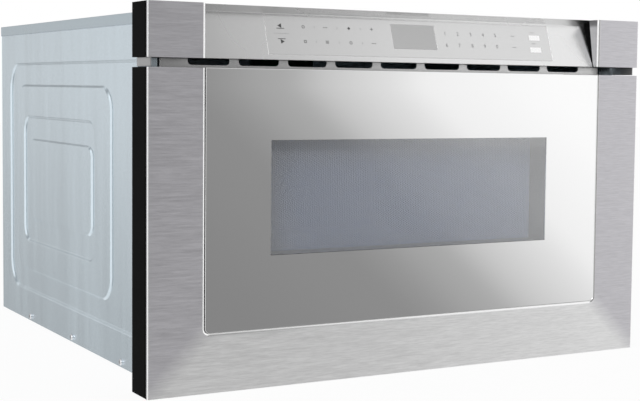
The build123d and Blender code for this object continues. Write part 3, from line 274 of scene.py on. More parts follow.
class TextureShop:
    """Builds each shared effect once, as a node group with named inputs and outputs."""

    INPUTS = {"Vector": "Vector", "Colour": "Color", "Contrast": "Float", "Roughness": "Float"}
    OUTPUTS = {"Colour": "Color", "Roughness": "Float", "Height": "Float"}
    PATTERNS = {
        # Short fine lines along X, over longer ones
        Texture.GRAIN: Pattern((95.0, 95.0, 1500.0), 2.0, (26.0, 26.0, 520.0), 2.0, 0.3),
        # Small grains of zinc, over faint upright streaks
        Texture.ZINC: Pattern((420.0,) * 3, 2.0, (34.0, 34.0, 3.2), 2.5, 0.6),
        # The fine pits of a moulding, over slow changes of shade
        Texture.MOULDED: Pattern((1500.0,) * 3, 2.0, (22.0,) * 3, 3.0, 0.45),
        # A hint of orange peel, over soft clouding
        Texture.CLOUD: Pattern((260.0,) * 3, 1.0, (7.0,) * 3, 2.0, 0.6),
    }

    def __init__(self) -> None:
        """Start with no group made."""
        self.made: dict[Texture, bpy.types.NodeTree] = {}

    def group(self, texture: Texture) -> bpy.types.NodeTree:
        """The node group of an effect, made at its first use."""
        if texture not in self.made:
            self.made[texture] = self._make(texture)
        return self.made[texture]

    def _make(self, texture: Texture) -> bpy.types.NodeTree:
        """Make the group of one effect.

        Args:
            texture: The effect.

        Returns:
            Its node group.
        """
        tree = bpy.data.node_groups.new(texture.value, "ShaderNodeTree")
        for way, sockets in (("INPUT", self.INPUTS), ("OUTPUT", self.OUTPUTS)):
            for name, kind in sockets.items():
                tree.interface.new_socket(name, in_out=way, socket_type="NodeSocket" + kind)
        board = NodeBoard(tree)
        given = board.add("NodeGroupInput").outputs
        pattern = self.PATTERNS[texture]
        fine = board.noise(given["Vector"], pattern.fine, pattern.fine_detail)
        broad = board.noise(given["Vector"], pattern.broad, pattern.broad_detail)
        blend = board.add("Mix", {0: pattern.broad_share}, data_type="FLOAT")
        board.join(fine, blend.inputs[2])
        board.join(broad, blend.inputs[3])
        darker = board.reckon("SUBTRACT", 1.0, given["Contrast"])
        lighter = board.reckon("ADD", 1.0, given["Contrast"])
        shade = board.spread(blend.outputs[0], darker, lighter)
        tint = board.mix(1.0, given["Colour"], shade, blend_type="MULTIPLY")
        worn = board.reckon("MULTIPLY", given["Roughness"], board.spread(broad, 0.9, 1.12))
        result = board.add("NodeGroupOutput").inputs
        board.join(tint, result["Colour"])
        board.join(worn, result["Roughness"])
        board.join(fine, result["Height"])
        return tree


SHOP = TextureShop()


@dataclass(frozen=True)
class Finish:
    """One surface finish, which becomes one material.

    Args:
        title: Name of the material.
        slot: The record's slot that it belongs to; not used.
        colour: Base colour, linear.
        roughness: Plain roughness before the effect changes it.
        texture: The shared effect on it.
        contrast: How far the effect lightens and darkens the colour.
        metallic: 1 for bare metal.
        relief: Height of the effect's bump, in thousandths of a millimetre.
        coat: Clear coat.
        transmission: 1 for clear glass.
        index: Refractive index.
    """

    title: str
    slot: Slot
    colour: Triple
    roughness: float
    texture: Texture
    contrast: float = 0.05
    metallic: float = 0.0
    relief: float = 20.0
    coat: float = 0.0
    transmission: float = 0.0
    index: float = 1.45

    def shade(self, board: NodeBoard, effect: bpy.types.Node) -> None:
        """Hook for a finish whose colour changes over the object.

        Args:
            board: The material's nodes.
            effect: The effect's group node, whose colour may be joined.
        """

    def material(self) -> bpy.types.Material:
        """The material of this finish, made at its first use.

        Returns:
            The material.
        """
        if self.title in bpy.data.materials:
            return bpy.data.materials[self.title]
        made = bpy.data.materials.new(self.title)
        made.use_nodes = True
        made.diffuse_color = (*self.colour, 1.0)
        board = NodeBoard(made.node_tree)
        shader = made.node_tree.nodes["Principled BSDF"]
        place = board.add("TexCoord")
        effect = board.add("Group", node_tree=SHOP.group(self.texture))
        board.join(place.outputs["Object"], effect.inputs["Vector"])
        effect.inputs["Colour"].default_value = (*self.colour, 1.0)
        effect.inputs["Contrast"].default_value = self.contrast
        effect.inputs["Roughness"].default_value = self.roughness
        self.shade(board, effect)
        for source, target in (("Colour", "Base Color"), ("Roughness", "Roughness")):
            board.join(effect.outputs[source], shader.inputs[target])
        bump = board.add("Bump", {"Strength": 1.0, "Distance": self.relief * MICRON})
        board.join(effect.outputs["Height"], bump.inputs["Height"])
        board.join(bump.outputs["Normal"], shader.inputs["Normal"])
        for name, value in (
            ("Metallic", self.metallic), ("Coat Weight", self.coat), ("Coat Roughness", 0.06),
            ("Transmission Weight", self.transmission), ("IOR", self.index),
        ):
            shader.inputs[name].default_value = value
        return made


@dataclass(frozen=True)
class PaintedLightSteel(Finish):
    """Steel with painted light: its colour goes over to a second colour along a line across the
    object.

    Args:
        second: The painted light colour, which the steel has before the change.
        along: Weights of the distance from the middle, of X and of Z in the measure.
        span: The measures, in metres, between which the change lies.
    """

    # Pale steel of the front's painted highlight on the lower rail
    second: Triple = grey(0.9)
    along: Triple = (1.0, 0.0, 1.0)
    span: Pair = (0.290, 0.318)

    def shade(self, board: NodeBoard, effect: bpy.types.Node) -> None:
        """Go over from the painted light colour to the finish's own.

        Args:
            board: The material's nodes.
            effect: The effect's group node.
        """
        place = board.add("TexCoord")
        parts = board.add("SeparateXYZ")
        board.join(place.outputs["Object"], parts.inputs[0])
        measures = board.add("CombineXYZ")
        board.join(board.reckon("ABSOLUTE", parts.outputs["X"]), measures.inputs[0])
        board.join(parts.outputs["X"], measures.inputs[1])
        board.join(parts.outputs["Z"], measures.inputs[2])
        way = board.add("VectorMath", {1: self.along}, operation="DOT_PRODUCT")
        board.join(measures.outputs[0], way.inputs[0])
        share = board.spread(way.outputs["Value"], 1.0, 0.0, self.span)
        board.join(board.mix(share, self.colour, self.second), effect.inputs["Colour"])


class Finishes:
    """Every finish of the object."""

    # The lower rail is painted paler than the stiles, a painted highlight that meets them in a
    # soft diagonal at each lower corner
    FRONT = PaintedLightSteel("front_steel", Slot.FRONT, (0.65, 0.64, 0.67), 0.36, Texture.GRAIN,
                        contrast=0.13, metallic=1.0, relief=4.0)
    # Polished rolled edges with their steel raised to near white: partly real polish, partly a
    # painted highlight
    EDGE = Finish("front_steel_edge_painted_highlight", Slot.FRONT, grey(0.94), 0.2, Texture.GRAIN,
                  contrast=0.02, metallic=1.0, relief=0.0)
    # The inner return of an end block: the same steel painted dark, as painted shade
    SHADED_RETURN = Finish("front_steel_return_painted_shade", Slot.FRONT, (0.22, 0.22, 0.225), 0.3, Texture.GRAIN,
                  contrast=0.1, metallic=1.0, relief=0.0)
    PANEL = Finish("panel_satin", Slot.PANEL, grey(0.86), 0.26, Texture.CLOUD,
                   contrast=0.02, metallic=1.0, relief=0.5)
    # The panel's lip faces: painted shade, dark at the left end, going over to pale steel towards
    # the right
    LIP = PaintedLightSteel("panel_lip_painted_shade", Slot.PANEL, grey(0.93), 0.26, Texture.CLOUD,
                      contrast=0.02, metallic=1.0, relief=0.0,
                      second=grey(0.38), along=(0.0, 1.0, 0.0), span=(-0.25, 0.05))
    MIRROR = Finish("mirror_coat", Slot.MIRROR, grey(0.93), 0.05, Texture.CLOUD,
                    contrast=0.008, metallic=1.0, relief=0.2)
    WINDOW = Finish("clear_pane", Slot.MIRROR, (0.97, 0.98, 0.985), 0.02, Texture.CLOUD,
                    contrast=0.005, relief=0.0, transmission=1.0, index=2.75)
    PANE = Finish("inner_pane", Slot.CLEAR, (0.95, 0.97, 0.97), 0.02, Texture.CLOUD,
                  contrast=0.005, relief=0.0, transmission=1.0)
    TOUCH = Finish("touch_face", Slot.TOUCH, grey(0.74), 0.2, Texture.CLOUD,
                   contrast=0.01, metallic=0.6, relief=0.0)
    DISPLAY = Finish("display_face", Slot.DISPLAY, grey(0.53), 0.4, Texture.CLOUD, contrast=0.01)
    PRINT = Finish("printed_grey", Slot.TOUCH, (0.07, 0.07, 0.072), 0.5, Texture.MOULDED,
                   contrast=0.04)
    PALE_PRINT = Finish("printed_pale", Slot.TOUCH, (0.22, 0.22, 0.225), 0.5, Texture.MOULDED,
                        contrast=0.04)
    KEY = Finish("key_white", Slot.TOUCH, grey(0.97), 0.2, Texture.CLOUD,
                 contrast=0.01, metallic=0.9, relief=0.0)
    ZINC = Finish("zinc_sheet", Slot.ZINC, (0.66, 0.75, 0.81), 0.24, Texture.ZINC,
                  contrast=0.11, metallic=0.95, relief=3.0)
    COVER = Finish("zinc_cover", Slot.ZINC, (0.52, 0.60, 0.65), 0.3, Texture.ZINC,
                   contrast=0.06, metallic=0.9, relief=3.0)
    STRIP = Finish("zinc_strip", Slot.ZINC, grey(0.76), 0.24, Texture.ZINC,
                   contrast=0.04, metallic=0.95, relief=1.0)
    BRACKET = Finish("zinc_bracket", Slot.ZINC, grey(0.42), 0.3, Texture.ZINC,
                     contrast=0.04, metallic=0.9, relief=1.0)
    BLACK = Finish("black_moulding", Slot.BLACK, grey(0.004), 0.42, Texture.MOULDED,
                   contrast=0.12, index=1.05)
    SCREEN = Finish("screen_paint", Slot.SCREEN, (0.27, 0.36, 0.60), 0.45, Texture.CLOUD,
                    contrast=0.03)
    TUNNEL = Finish("tunnel_enamel", Slot.ENAMEL, (0.04, 0.05, 0.07), 0.35, Texture.CLOUD,
                    contrast=0.03)
    ENAMEL = Finish("oven_enamel", Slot.ENAMEL, (0.42, 0.45, 0.48), 0.3, Texture.CLOUD,
                    contrast=0.04, coat=0.4)
    RAIL = Finish("rail_zinc", Slot.RAIL, (0.66, 0.68, 0.70), 0.28, Texture.ZINC,
                  contrast=0.04, metallic=1.0, relief=3.0)
    NYLON = Finish("natural_nylon", Slot.NYLON, (0.84, 0.83, 0.78), 0.42, Texture.MOULDED,
                   contrast=0.04)
    BOARD = Finish("solder_mask", Slot.BOARD, (0.03, 0.17, 0.07), 0.35, Texture.MOULDED,
                   contrast=0.15, coat=0.3)
    ALLOY = Finish("pressed_alloy", Slot.ALLOY, (0.74, 0.75, 0.76), 0.36, Texture.ZINC,
                   contrast=0.05, metallic=1.0, relief=4.0)
    IRON = Finish("varnished_core", Slot.IRON, (0.09, 0.075, 0.065), 0.45, Texture.GRAIN,
                  contrast=0.35, metallic=0.4, relief=10.0)
    CAN = Finish("plated_can", Slot.CAN, (0.55, 0.56, 0.57), 0.32, Texture.ZINC,
                 contrast=0.05, metallic=0.9, relief=4.0)
    RUBBER = Finish("foot_rubber", Slot.RUBBER, grey(0.03), 0.75, Texture.MOULDED, contrast=0.2)
    CERAMIC = Finish("glass_ceramic", Slot.CERAMIC, (0.86, 0.87, 0.86), 0.12, Texture.CLOUD,
                     contrast=0.015, coat=0.5)
    MICA = Finish("mica_sheet", Slot.MICA, (0.62, 0.54, 0.38), 0.42, Texture.ZINC, contrast=0.12)
    SCREW = Finish("screw_plating", Slot.SCREW, (0.75, 0.76, 0.78), 0.2, Texture.ZINC,
                   contrast=0.04, metallic=1.0, relief=2.0)


# ---------------------------------------------------------------- bench work
def clear_bench() -> None:
    """Deselect everything, so that an operator acts on what comes next alone."""
    bpy.ops.object.select_all(action="DESELECT")


def take(piece: Piece) -> None:
    """Select one piece alone and make it the active one."""
    clear_bench()
    piece.select_set(True)
    bpy.context.view_layer.objects.active = piece


@contextmanager
def editing(piece: Piece, mode: str = "FACE") -> Iterator[None]:
    """Edit one piece, with nothing on it selected.

    Args:
        piece: The piece.
        mode: VERT, EDGE or FACE.
    """
    take(piece)
    bpy.ops.object.mode_set(mode="EDIT")
    bpy.ops.mesh.select_mode(type=mode)
    bpy.ops.mesh.select_all(action="DESELECT")
    yield
    bpy.ops.object.mode_set(mode="OBJECT")


def pick_faces(piece: Piece, test: PairTest) -> None:
    """Select the faces, by their centre and normal, that pass a test."""
    mesh = bmesh.from_edit_mesh(piece.data)
    for face in mesh.faces:
        face.select_set(test(face.calc_center_median(), face.normal))
    bmesh.update_edit_mesh(piece.data)


def pick_edges(piece: Piece, test: PairTest) -> None:
    """Select the edges, by their two ends, that pass a test."""
    mesh = bmesh.from_edit_mesh(piece.data)
    for edge in mesh.edges:
        edge.select_set(test(edge.verts[0].co, edge.verts[1].co))
    bmesh.update_edit_mesh(piece.data)


def pick_verts(piece: Piece, test: Callable[[Vector], bool]) -> None:
    """Select the points that pass a test."""
    mesh = bmesh.from_edit_mesh(piece.data)
    for vert in mesh.verts:
        vert.select_set(test(vert.co))
    mesh.select_flush_mode()
    bmesh.update_edit_mesh(piece.data)


def call(piece: Piece, name: str) -> Piece:
    """Name a piece and its mesh."""
    piece.name = name
    piece.data.name = name
    return piece


def settle(piece: Piece, name: str) -> Piece:
    """Name a new piece and put its place, turn and scale into its mesh."""
    take(call(piece, name))
    bpy.ops.object.transform_apply(location=True, rotation=True, scale=True)
    return piece


def block(name: str, low: Sequence[float], high: Sequence[float]) -> Piece:
    """Start a piece as a block.

    Args:
        name: Its name.
        low: Lowest corner.
        high: Highest corner.

    Returns:
        The piece, to be shaped further.
    """
    clear_bench()
    low, high = Vector(low), Vector(high)
    bpy.ops.mesh.primitive_cube_add(size=1.0, location=(low + high) / 2, scale=high - low)
    return settle(bpy.context.active_object, name)


def slab(name: str, x: Sequence[float], depth: Sequence[float], z: Sequence[float]) -> Piece:
    """Start a piece as a block, given its spans across, back from the front face, and up."""
    return block(name, *((pick(x), FRONT_Y + pick(depth), pick(z)) for pick in (min, max)))


def rod(name: str, centre: Sequence[float], radius: float, length: float, axis: str,
        sides: int = 32) -> Piece:
    """Start a piece as a rod.

    Args:
        name: Its name.
        centre: Its middle.
        radius: Its radius.
        length: Its length.
        axis: Y or Z.
        sides: Sides of its section.

    Returns:
        The piece, to be shaped further.
    """
    clear_bench()
    turn = {"Y": (math.pi / 2, 0, 0), "Z": (0, 0, 0)}[axis]
    bpy.ops.mesh.primitive_cylinder_add(
        vertices=sides, radius=radius, depth=length, location=centre, rotation=turn
    )
    return settle(bpy.context.active_object, name)


def apply_modifier(piece: Piece, kind: str, **settings: object) -> None:
    """Add a modifier to a piece, set it and apply it.

    Args:
        piece: The piece.
        kind: The modifier's type.
        settings: Its properties.
    """
    take(piece)
    added = piece.modifiers.new(kind.lower(), kind)
    for key, value in settings.items():
        setattr(added, key, value)
    bpy.ops.object.modifier_apply(modifier=added.name)


def roll_edges(piece: Piece, width: float, segments: int, test: PairTest) -> None:
    """Round the edges that pass a test.

    Args:
        piece: The piece.
        width: Width of the rounding.
        segments: Faces across it.
        test: Takes an edge's two ends.
    """
    with editing(piece, "EDGE"):
        pick_edges(piece, test)
        bpy.ops.mesh.bevel(
            offset=width, segments=segments, profile=0.5, affect="EDGES", clamp_overlap=True
        )


def soften(piece: Piece, width: float, segments: int = 2, angle: float = 35.0) -> Piece:
    """Round every sharp edge of a piece a little and shade it smooth between.

    Args:
        piece: The piece.
        width: Width of the rounding.
        segments: Faces across it.
        angle: Edges sharper than this, in degrees, are rounded.

    Returns:
        The same piece.
    """
    if width:
        apply_modifier(
            piece, "BEVEL", width=width, segments=segments, limit_method="ANGLE",
            angle_limit=math.radians(angle), use_clamp_overlap=True, harden_normals=False,
        )
    take(piece)
    bpy.ops.object.shade_smooth_by_angle(angle=math.radians(angle))
    apply_modifier(piece, "WEIGHTED_NORMAL", mode="FACE_AREA", weight=80, keep_sharp=True)
    return piece


def _combine(piece: Piece, others: Sequence[Piece], operation: str) -> Piece:
    """Cut or join a piece with others, and clear the others away."""
    for other in others:
        apply_modifier(piece, "BOOLEAN", operation=operation, solver="EXACT", object=other)
        bpy.data.objects.remove(other)
    return piece


def cut(piece: Piece, *cutters: Piece) -> Piece:
    """Take the cutters' shapes out of a piece."""
    return _combine(piece, cutters, "DIFFERENCE")


def weld(piece: Piece, *others: Piece) -> Piece:
    """Make one solid of a piece and others that meet it."""
    return _combine(piece, others, "UNION")


def gather(name: str, pieces: Sequence[Piece]) -> Piece:
    """Join separate pieces into one object, and name it."""
    take(pieces[0])
    for other in pieces[1:]:
        other.select_set(True)
    if len(pieces) > 1:
        bpy.ops.object.join()
    return call(pieces[0], name)


def twin(piece: Piece, name: str, shift: Vector) -> Piece:
    """Copy a piece with a mesh of its own, moved by a shift."""
    other = piece.copy()
    other.data = piece.data.copy()
    call(other, name).data.transform(Matrix.Translation(shift))
    bpy.context.scene.collection.objects.link(other)
    return other


def cast(node: str, width: float, segments: int = 2, name: str = "") -> Piece:
    """Copy a CAD node's mesh as a new piece, merge it, and round its edges.

    Args:
        node: The CAD node.
        width: Width of the rounding.
        segments: Faces across it.
        name: The piece's name, the node's with _shell when left out.

    Returns:
        The new piece.
    """
    piece = bpy.data.objects.new(name or node + "_shell", NODES[node].data.copy())
    bpy.context.scene.collection.objects.link(piece)
    piece.data.materials.clear()
    take(piece)
    bpy.ops.mesh.customdata_custom_splitnormals_clear()
    with editing(piece, "VERT"):
        bpy.ops.mesh.select_all(action="SELECT")
        bpy.ops.mesh.remove_doubles(threshold=0.01 * MM)
        bpy.ops.mesh.dissolve_limited(angle_limit=math.radians(0.5))
    return soften(piece, width, segments)


def is_slanted(_: Vector, normal: Vector) -> bool:
    """Whether a face is part of a rolled edge, so that its normal lies along no axis."""
    return max(abs(part) for part in normal) < 0.995


def finish_where(piece: Piece, finish: Finish, test: PairTest) -> None:
    """Give the faces that pass a test another finish.

    Args:
        piece: The piece, presented before.
        finish: The other finish.
        test: Takes a face's centre and normal.
    """
    piece.data.materials.append(finish.material())
    place = len(piece.data.materials) - 1
    for face in piece.data.polygons:
        if test(face.center, face.normal):
            face.material_index = place


def present(piece: Piece, body: str, finish: Finish, replaced: Sequence[str] = ()) -> Piece:
    """Give a piece its finish, set it on its body, and report it.

    Args:
        piece: The piece.
        body: The body that it rides on.
        finish: Its finish.
        replaced: The CAD nodes that it stands for.

    Returns:
        The same piece.
    """
    piece.data.materials.clear()
    piece.data.materials.append(finish.material())
    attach(piece, body)
    if replaced:
        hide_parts(*replaced)
    log.info("%s rides on %s in %s", piece.name, body, finish.title)
    return piece


def dress(node: str, finish: Finish) -> None:
    """Give a CAD node that keeps its own shape a finish.

    Args:
        node: The node.
        finish: Its finish.
    """
    shape = NODES[node]
    if not shape.material_slots:
        shape.data.materials.append(None)
    for place in shape.material_slots:
        place.material = finish.material()
    log.info("%s keeps its shape, in %s", node, finish.title)


def recast(node: str, finish: Finish, width: float, segments: int = 2) -> Piece:
    """Stand a copy with rounded edges in a CAD node's place.

    Args:
        node: The node.
        finish: Its finish.
        width: Width of the rounding.
        segments: Faces across it.

    Returns:
        The new piece.
    """
    return present(cast(node, width, segments), NODE_BODY[node], finish, (node,))


# ---------------------------------------------------------------- studio
@dataclass(frozen=True)
class PhotoCamera:
    """The camera that the photograph was taken with, fitted to the object's corners."""

    place: Triple = (-0.78287, -1.54842, 0.30511)
    yaw: float = 0.5306
    pitch: float = 0.06649
    roll: float = 0.01187
    lens: float = 77.917
    sensor: float = 36.0
    centre_px: Pair = (375.75, 179.45)
    size_px: tuple[int, int] = (640, 401)

    def build(self) -> None:
        """Add the camera and make it the scene's."""
        ahead = Vector((
            math.sin(self.yaw) * math.cos(self.pitch),
            math.cos(self.yaw) * math.cos(self.pitch),
            -math.sin(self.pitch),
        ))
        level = Vector((math.cos(self.yaw), -math.sin(self.yaw), 0.0))
        upright = level.cross(ahead)
        right = math.cos(self.roll) * level + math.sin(self.roll) * upright
        above = math.cos(self.roll) * upright - math.sin(self.roll) * level
        turn = Matrix((right, above, -ahead)).transposed().to_4x4()
        data = bpy.data.cameras.new("photo_camera")
        data.lens = self.lens
        data.sensor_width = self.sensor
        data.clip_start = 0.01
        width, height = self.size_px
        data.shift_x = (width / 2 - self.centre_px[0]) / width
        data.shift_y = (self.centre_px[1] - height / 2) / width
        camera = bpy.data.objects.new("photo_camera", data)
        camera.matrix_world = Matrix.Translation(self.place) @ turn
        bpy.context.scene.collection.objects.link(camera)
        bpy.context.scene.camera = camera
        log.info("camera at %s", self.place)


@dataclass(frozen=True)
class Studio:
    """A white studio with shaded bays, which polished steel and glass show."""

    floor_size: float = 14.0
    floor_back: float = 2.1
    floor_drop: float = 0.2 * MM
    floor_colour: Triple = grey(0.97)
    floor_roughness: float = 0.9
    glow: float = 0.93
    fill: float = 0.62
    # Bearing from straight ahead of the object, in degrees towards its right, and brightness
    bays: tuple[Pair, ...] = (
        (-180.0, 0.36), (-166.0, 0.62), (-159.5, 0.98), (-155.0, 0.95), (-147.0, 0.35),
        (-134.0, 0.35), (-118.0, 1.15), (-60.0, 0.95), (-35.0, 0.62), (-8.0, 0.30),
        (14.0, 0.25), (22.5, 0.28), (26.0, 0.40), (29.5, 0.70), (33.0, 0.96), (38.0, 1.04),
        (60.0, 1.05), (130.0, 1.0), (180.0, 0.40),
    )
    # How far the bays shift with a ray's rise, for rays that rise and for rays that fall
    lean: Pair = (-0.16, 1.0)
    # Rays that fall steeper than the first rise, in radians, meet the bright floor by the second
    floor_rise: Pair = (-0.5, -0.2)
    # Place, size and power of each soft lamp
    lamps: tuple[tuple[Triple, float, float], ...] = (
        ((-2.3, -2.8, 1.7), 1.6, 32.0),
        ((3.0, 0.2, 2.4), 1.4, 12.0),
    )
    aim: Triple = (0.0, 0.0, 0.15)

    def build(self) -> None:
        """Add the world, the floor and the lamps, and set the view transform."""
        bpy.context.scene.view_settings.view_transform = "Standard"
        self._world()
        self._floor()
        for number, (place, size, power) in enumerate(self.lamps):
            data = bpy.data.lights.new(f"soft_lamp_{number}", "AREA")
            data.size = size
            data.energy = power
            lamp = bpy.data.objects.new(data.name, data)
            lamp.location = place
            way = Vector(self.aim) - Vector(place)
            lamp.rotation_euler = way.to_track_quat("-Z", "Y").to_euler()
            bpy.context.scene.collection.objects.link(lamp)
        log.info("studio with %d lamps", len(self.lamps))

    def _world(self) -> None:
        """White to the camera, an even fill on matt surfaces, and shaded bays in gloss."""
        world = bpy.data.worlds.new("studio")
        bpy.context.scene.world = world
        world.use_nodes = True
        board = NodeBoard(world.node_tree)
        place = board.add("TexCoord")
        parts = board.add("SeparateXYZ")
        board.join(place.outputs["Generated"], parts.inputs[0])
        ahead = board.reckon("MULTIPLY", parts.outputs["Y"], -1.0)
        bearing = board.reckon("ARCTAN2", parts.outputs["X"], ahead)
        rise = board.reckon("ARCSINE", parts.outputs["Z"])
        for reach, lean in zip((1.0, -1.0), self.lean):
            leant = board.spread(rise, 0.0, lean * reach, (0.0, reach))
            bearing = board.reckon("ADD", bearing, leant)
        turn = board.spread(bearing, 0.0, 1.0, (-math.pi, math.pi))
        ramp = board.add("ValToRGB")
        ramp.color_ramp.interpolation = "EASE"
        stops = ramp.color_ramp.elements
        for number, (degrees, level) in enumerate(self.bays):
            stop = stops[number] if number < 2 else stops.new(1.0)
            stop.position = (degrees + 180.0) / 360.0
            stop.color = (level, level, level, 1.0)
        board.join(turn, ramp.inputs[0])
        bright = board.spread(rise, 1.0, 0.0, self.floor_rise)
        shown = board.mix(bright, ramp.outputs["Color"], grey(1.0))
        rays = board.add("LightPath").outputs
        shiny = board.reckon("MAXIMUM", rays["Is Glossy Ray"], rays["Is Transmission Ray"])
        level = board.mix(shiny, grey(self.fill), shown)
        seen = board.mix(rays["Is Camera Ray"], level, grey(1.0))
        board.join(seen, world.node_tree.nodes["Background"].inputs["Color"])

    def _floor(self) -> None:
        """A pale floor that goes over into the white background and keeps the object's shadow."""
        clear_bench()
        place = (0, self.floor_back, -self.floor_drop)
        bpy.ops.mesh.primitive_plane_add(size=self.floor_size, location=place)
        floor = settle(bpy.context.active_object, "studio_floor")
        floor.visible_glossy = False
        made = bpy.data.materials.new("floor_paint")
        made.use_nodes = True
        board = NodeBoard(made.node_tree)
        shader = made.node_tree.nodes["Principled BSDF"]
        shader.inputs["Base Color"].default_value = (*self.floor_colour, 1.0)
        shader.inputs["Roughness"].default_value = self.floor_roughness
        rays = board.add("LightPath")
        glow = board.add("Emission", {"Color": (1.0, 1.0, 1.0, 1.0), "Strength": 1.0})
        share = board.reckon("MULTIPLY", rays.outputs["Is Camera Ray"], self.glow)
        mix = board.add("MixShader")
        board.join(share, mix.inputs[0])
        board.join(shader.outputs[0], mix.inputs[1])
        board.join(glow.outputs[0], mix.inputs[2])
        board.join(mix.outputs[0], made.node_tree.nodes["Material Output"].inputs["Surface"])
        floor.data.materials.append(made)
        floor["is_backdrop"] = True


# ---------------------------------------------------------------- drawer front
@dataclass(frozen=True)
class DrawerFront:
    """The steel and glass front of the drawer, with its window."""

    body: str = "drawer"
    steel_depth: float = 3.2 * MM
    sheet: float = 1.2 * MM
    roll: float = 3.0 * MM
    outer_roll: float = 1.2 * MM
    corner: float = 4.5 * MM
    clear: float = 0.1 * MM
    pane_rim: float = 10.0 * MM
    pane_gap: float = 0.06 * MM
    polish: float = 0.25 * MM
    hole_radius: float = 0.98 * MM
    hole_pitch: float = 2.45 * MM
    screen_sheet: float = 0.8 * MM

    def build(self) -> None:
        """Build and dress every piece of the drawer front."""
        self.steel()
        self.glass()
        self.screen()
        self.casing()
        recast("window_tunnel", Finishes.TUNNEL, 0.4 * MM)
        recast("inner_window", Finishes.PANE, 0.3 * MM)

    def _window(self) -> tuple[Vector, Vector]:
        """Lowest and highest corner of the window opening."""
        low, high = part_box("inner_window")
        rim = Vector((self.pane_rim, 0.0, self.pane_rim))
        return low + rim, high - rim

    def steel(self) -> None:
        """The steel frame: a folded pan with rolled edges round the glass."""
        low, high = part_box("door_frame")
        glass_low, glass_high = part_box("door_glass")
        pan = block("door_frame_pan", low, (high.x, low.y + self.steel_depth, high.z))
        opening = block(
            "opening",
            (glass_low.x - self.clear, low.y - self.steel_depth, glass_low.z - self.clear),
            (glass_high.x + self.clear, low.y + 2 * self.steel_depth, high.z + 2 * self.corner),
        )
        roll_edges(opening, self.corner, 6, lambda a, b: abs(a.y - b.y) > self.steel_depth)
        cut(pan, opening)
        front = low.y
        for outer, width in ((True, self.outer_roll), (False, self.roll)):
            roll_edges(
                pan, width, 4,
                lambda a, b: abs(a.y - front) < HAIR and abs(b.y - front) < HAIR
                and (min(high.x - abs(a.x), high.x - abs(b.x)) < 2 * self.outer_roll) == outer
                and (abs(a.x - b.x) < HAIR if outer else min(a.z, b.z) > low.z + self.roll),
            )
        wall = self.sheet
        back = low.y + self.steel_depth
        inner_x = glass_high.x + self.clear
        pockets = [
            ((low.x + wall, low.z + wall), (-inner_x - wall, high.z - wall)),
            ((inner_x + wall, low.z + wall), (high.x - wall, high.z - wall)),
            ((-inner_x - wall, low.z + wall), (inner_x + wall, glass_low.z - self.roll - wall)),
        ]
        for (x0, z0), (x1, z1) in pockets:
            cut(pan, block("pocket", (x0, front + wall, z0), (x1, back + wall, z1)))
        soften(pan, 0.25 * MM)
        present(pan, self.body, Finishes.FRONT, ("door_frame",))
        # The rolled edges take the polished steel with its painted highlight
        finish_where(pan, Finishes.EDGE, is_slanted)

    def glass(self) -> None:
        """The mirror-coated glass, and the clear pane of its window."""
        low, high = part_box("door_glass")
        window_low, window_high = self._window()
        bezel = block("door_glass_mirror", low, high)
        roll_edges(
            bezel, self.corner, 6,
            lambda a, b: abs(a.y - b.y) > 0.1 * MM and max(a.z, b.z) < low.z + 0.01 * MM,
        )
        with editing(bezel, "FACE"):
            pick_faces(bezel, lambda _, normal: normal.y < -0.9)
            bpy.ops.mesh.inset(thickness=self.polish, depth=0.0)
        front = low.y
        with editing(bezel, "VERT"):
            pick_verts(bezel, lambda v: abs(v.y - front) < HAIR and self._on_rim(v, low, high))
            bpy.ops.transform.translate(value=(0, self.polish, 0))
        cut(bezel, block(
            "hole", (window_low.x, low.y - MM, window_low.z),
            (window_high.x, high.y + MM, window_high.z),
        ))
        soften(bezel, 0.0)
        present(bezel, self.body, Finishes.MIRROR, ("door_glass",))
        gap = self.pane_gap
        pane = block(
            "door_glass_window",
            (window_low.x + gap, low.y + gap, window_low.z + gap),
            (window_high.x - gap, high.y - gap, window_high.z - gap),
        )
        soften(pane, 0.08 * MM, 1)
        present(pane, self.body, Finishes.WINDOW)
        pane.visible_shadow = False

    def _on_rim(self, point: Vector, low: Vector, high: Vector) -> bool:
        """Whether a point of the glass's front lies on its outline."""
        inner = 0.5 * self.polish
        if min(point.x - low.x, high.x - point.x, point.z - low.z, high.z - point.z) < inner:
            return True
        reach = self.corner
        across = max(low.x + reach - point.x, point.x - high.x + reach)
        down = low.z + reach - point.z
        return across > 0 and down > 0 and math.hypot(across, down) > reach - inner

    def screen(self) -> None:
        """The perforated screening plate: its border, and its punched field in two halves."""
        low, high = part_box("window_screen")
        window_low, window_high = self._window()
        step = self.hole_pitch * math.sqrt(3.0)
        columns = 2 * math.ceil((window_high.x + step) / (2 * step))
        rows = math.ceil((window_high.z - window_low.z) / self.hole_pitch) + 2
        middle_z = (window_low.z + window_high.z) / 2
        half = self._punched_field(columns, rows)
        first_z = middle_z - (rows - 0.5) * self.hole_pitch / 2
        half.data.transform(Matrix.Translation((step / 3, low.y, first_z)))
        for side, word in SIDES:
            shift = Vector((0 if side > 0 else -columns * step, 0, 0))
            field = twin(half, f"window_screen_{word}", shift)
            present(field, self.body, Finishes.SCREEN, ("window_screen",))
        bpy.data.objects.remove(half)
        inset = Vector((0, 0.1 * MM, 0))
        reach = window_high.x + 0.5 * step
        border = block("window_screen_border", low + inset, high - inset)
        cut(border, block(
            "field", (-reach, low.y - MM, window_low.z - self.hole_pitch),
            (reach, high.y + MM, window_high.z + self.hole_pitch),
        ))
        present(soften(border, 0.2 * MM), self.body, Finishes.SCREEN)

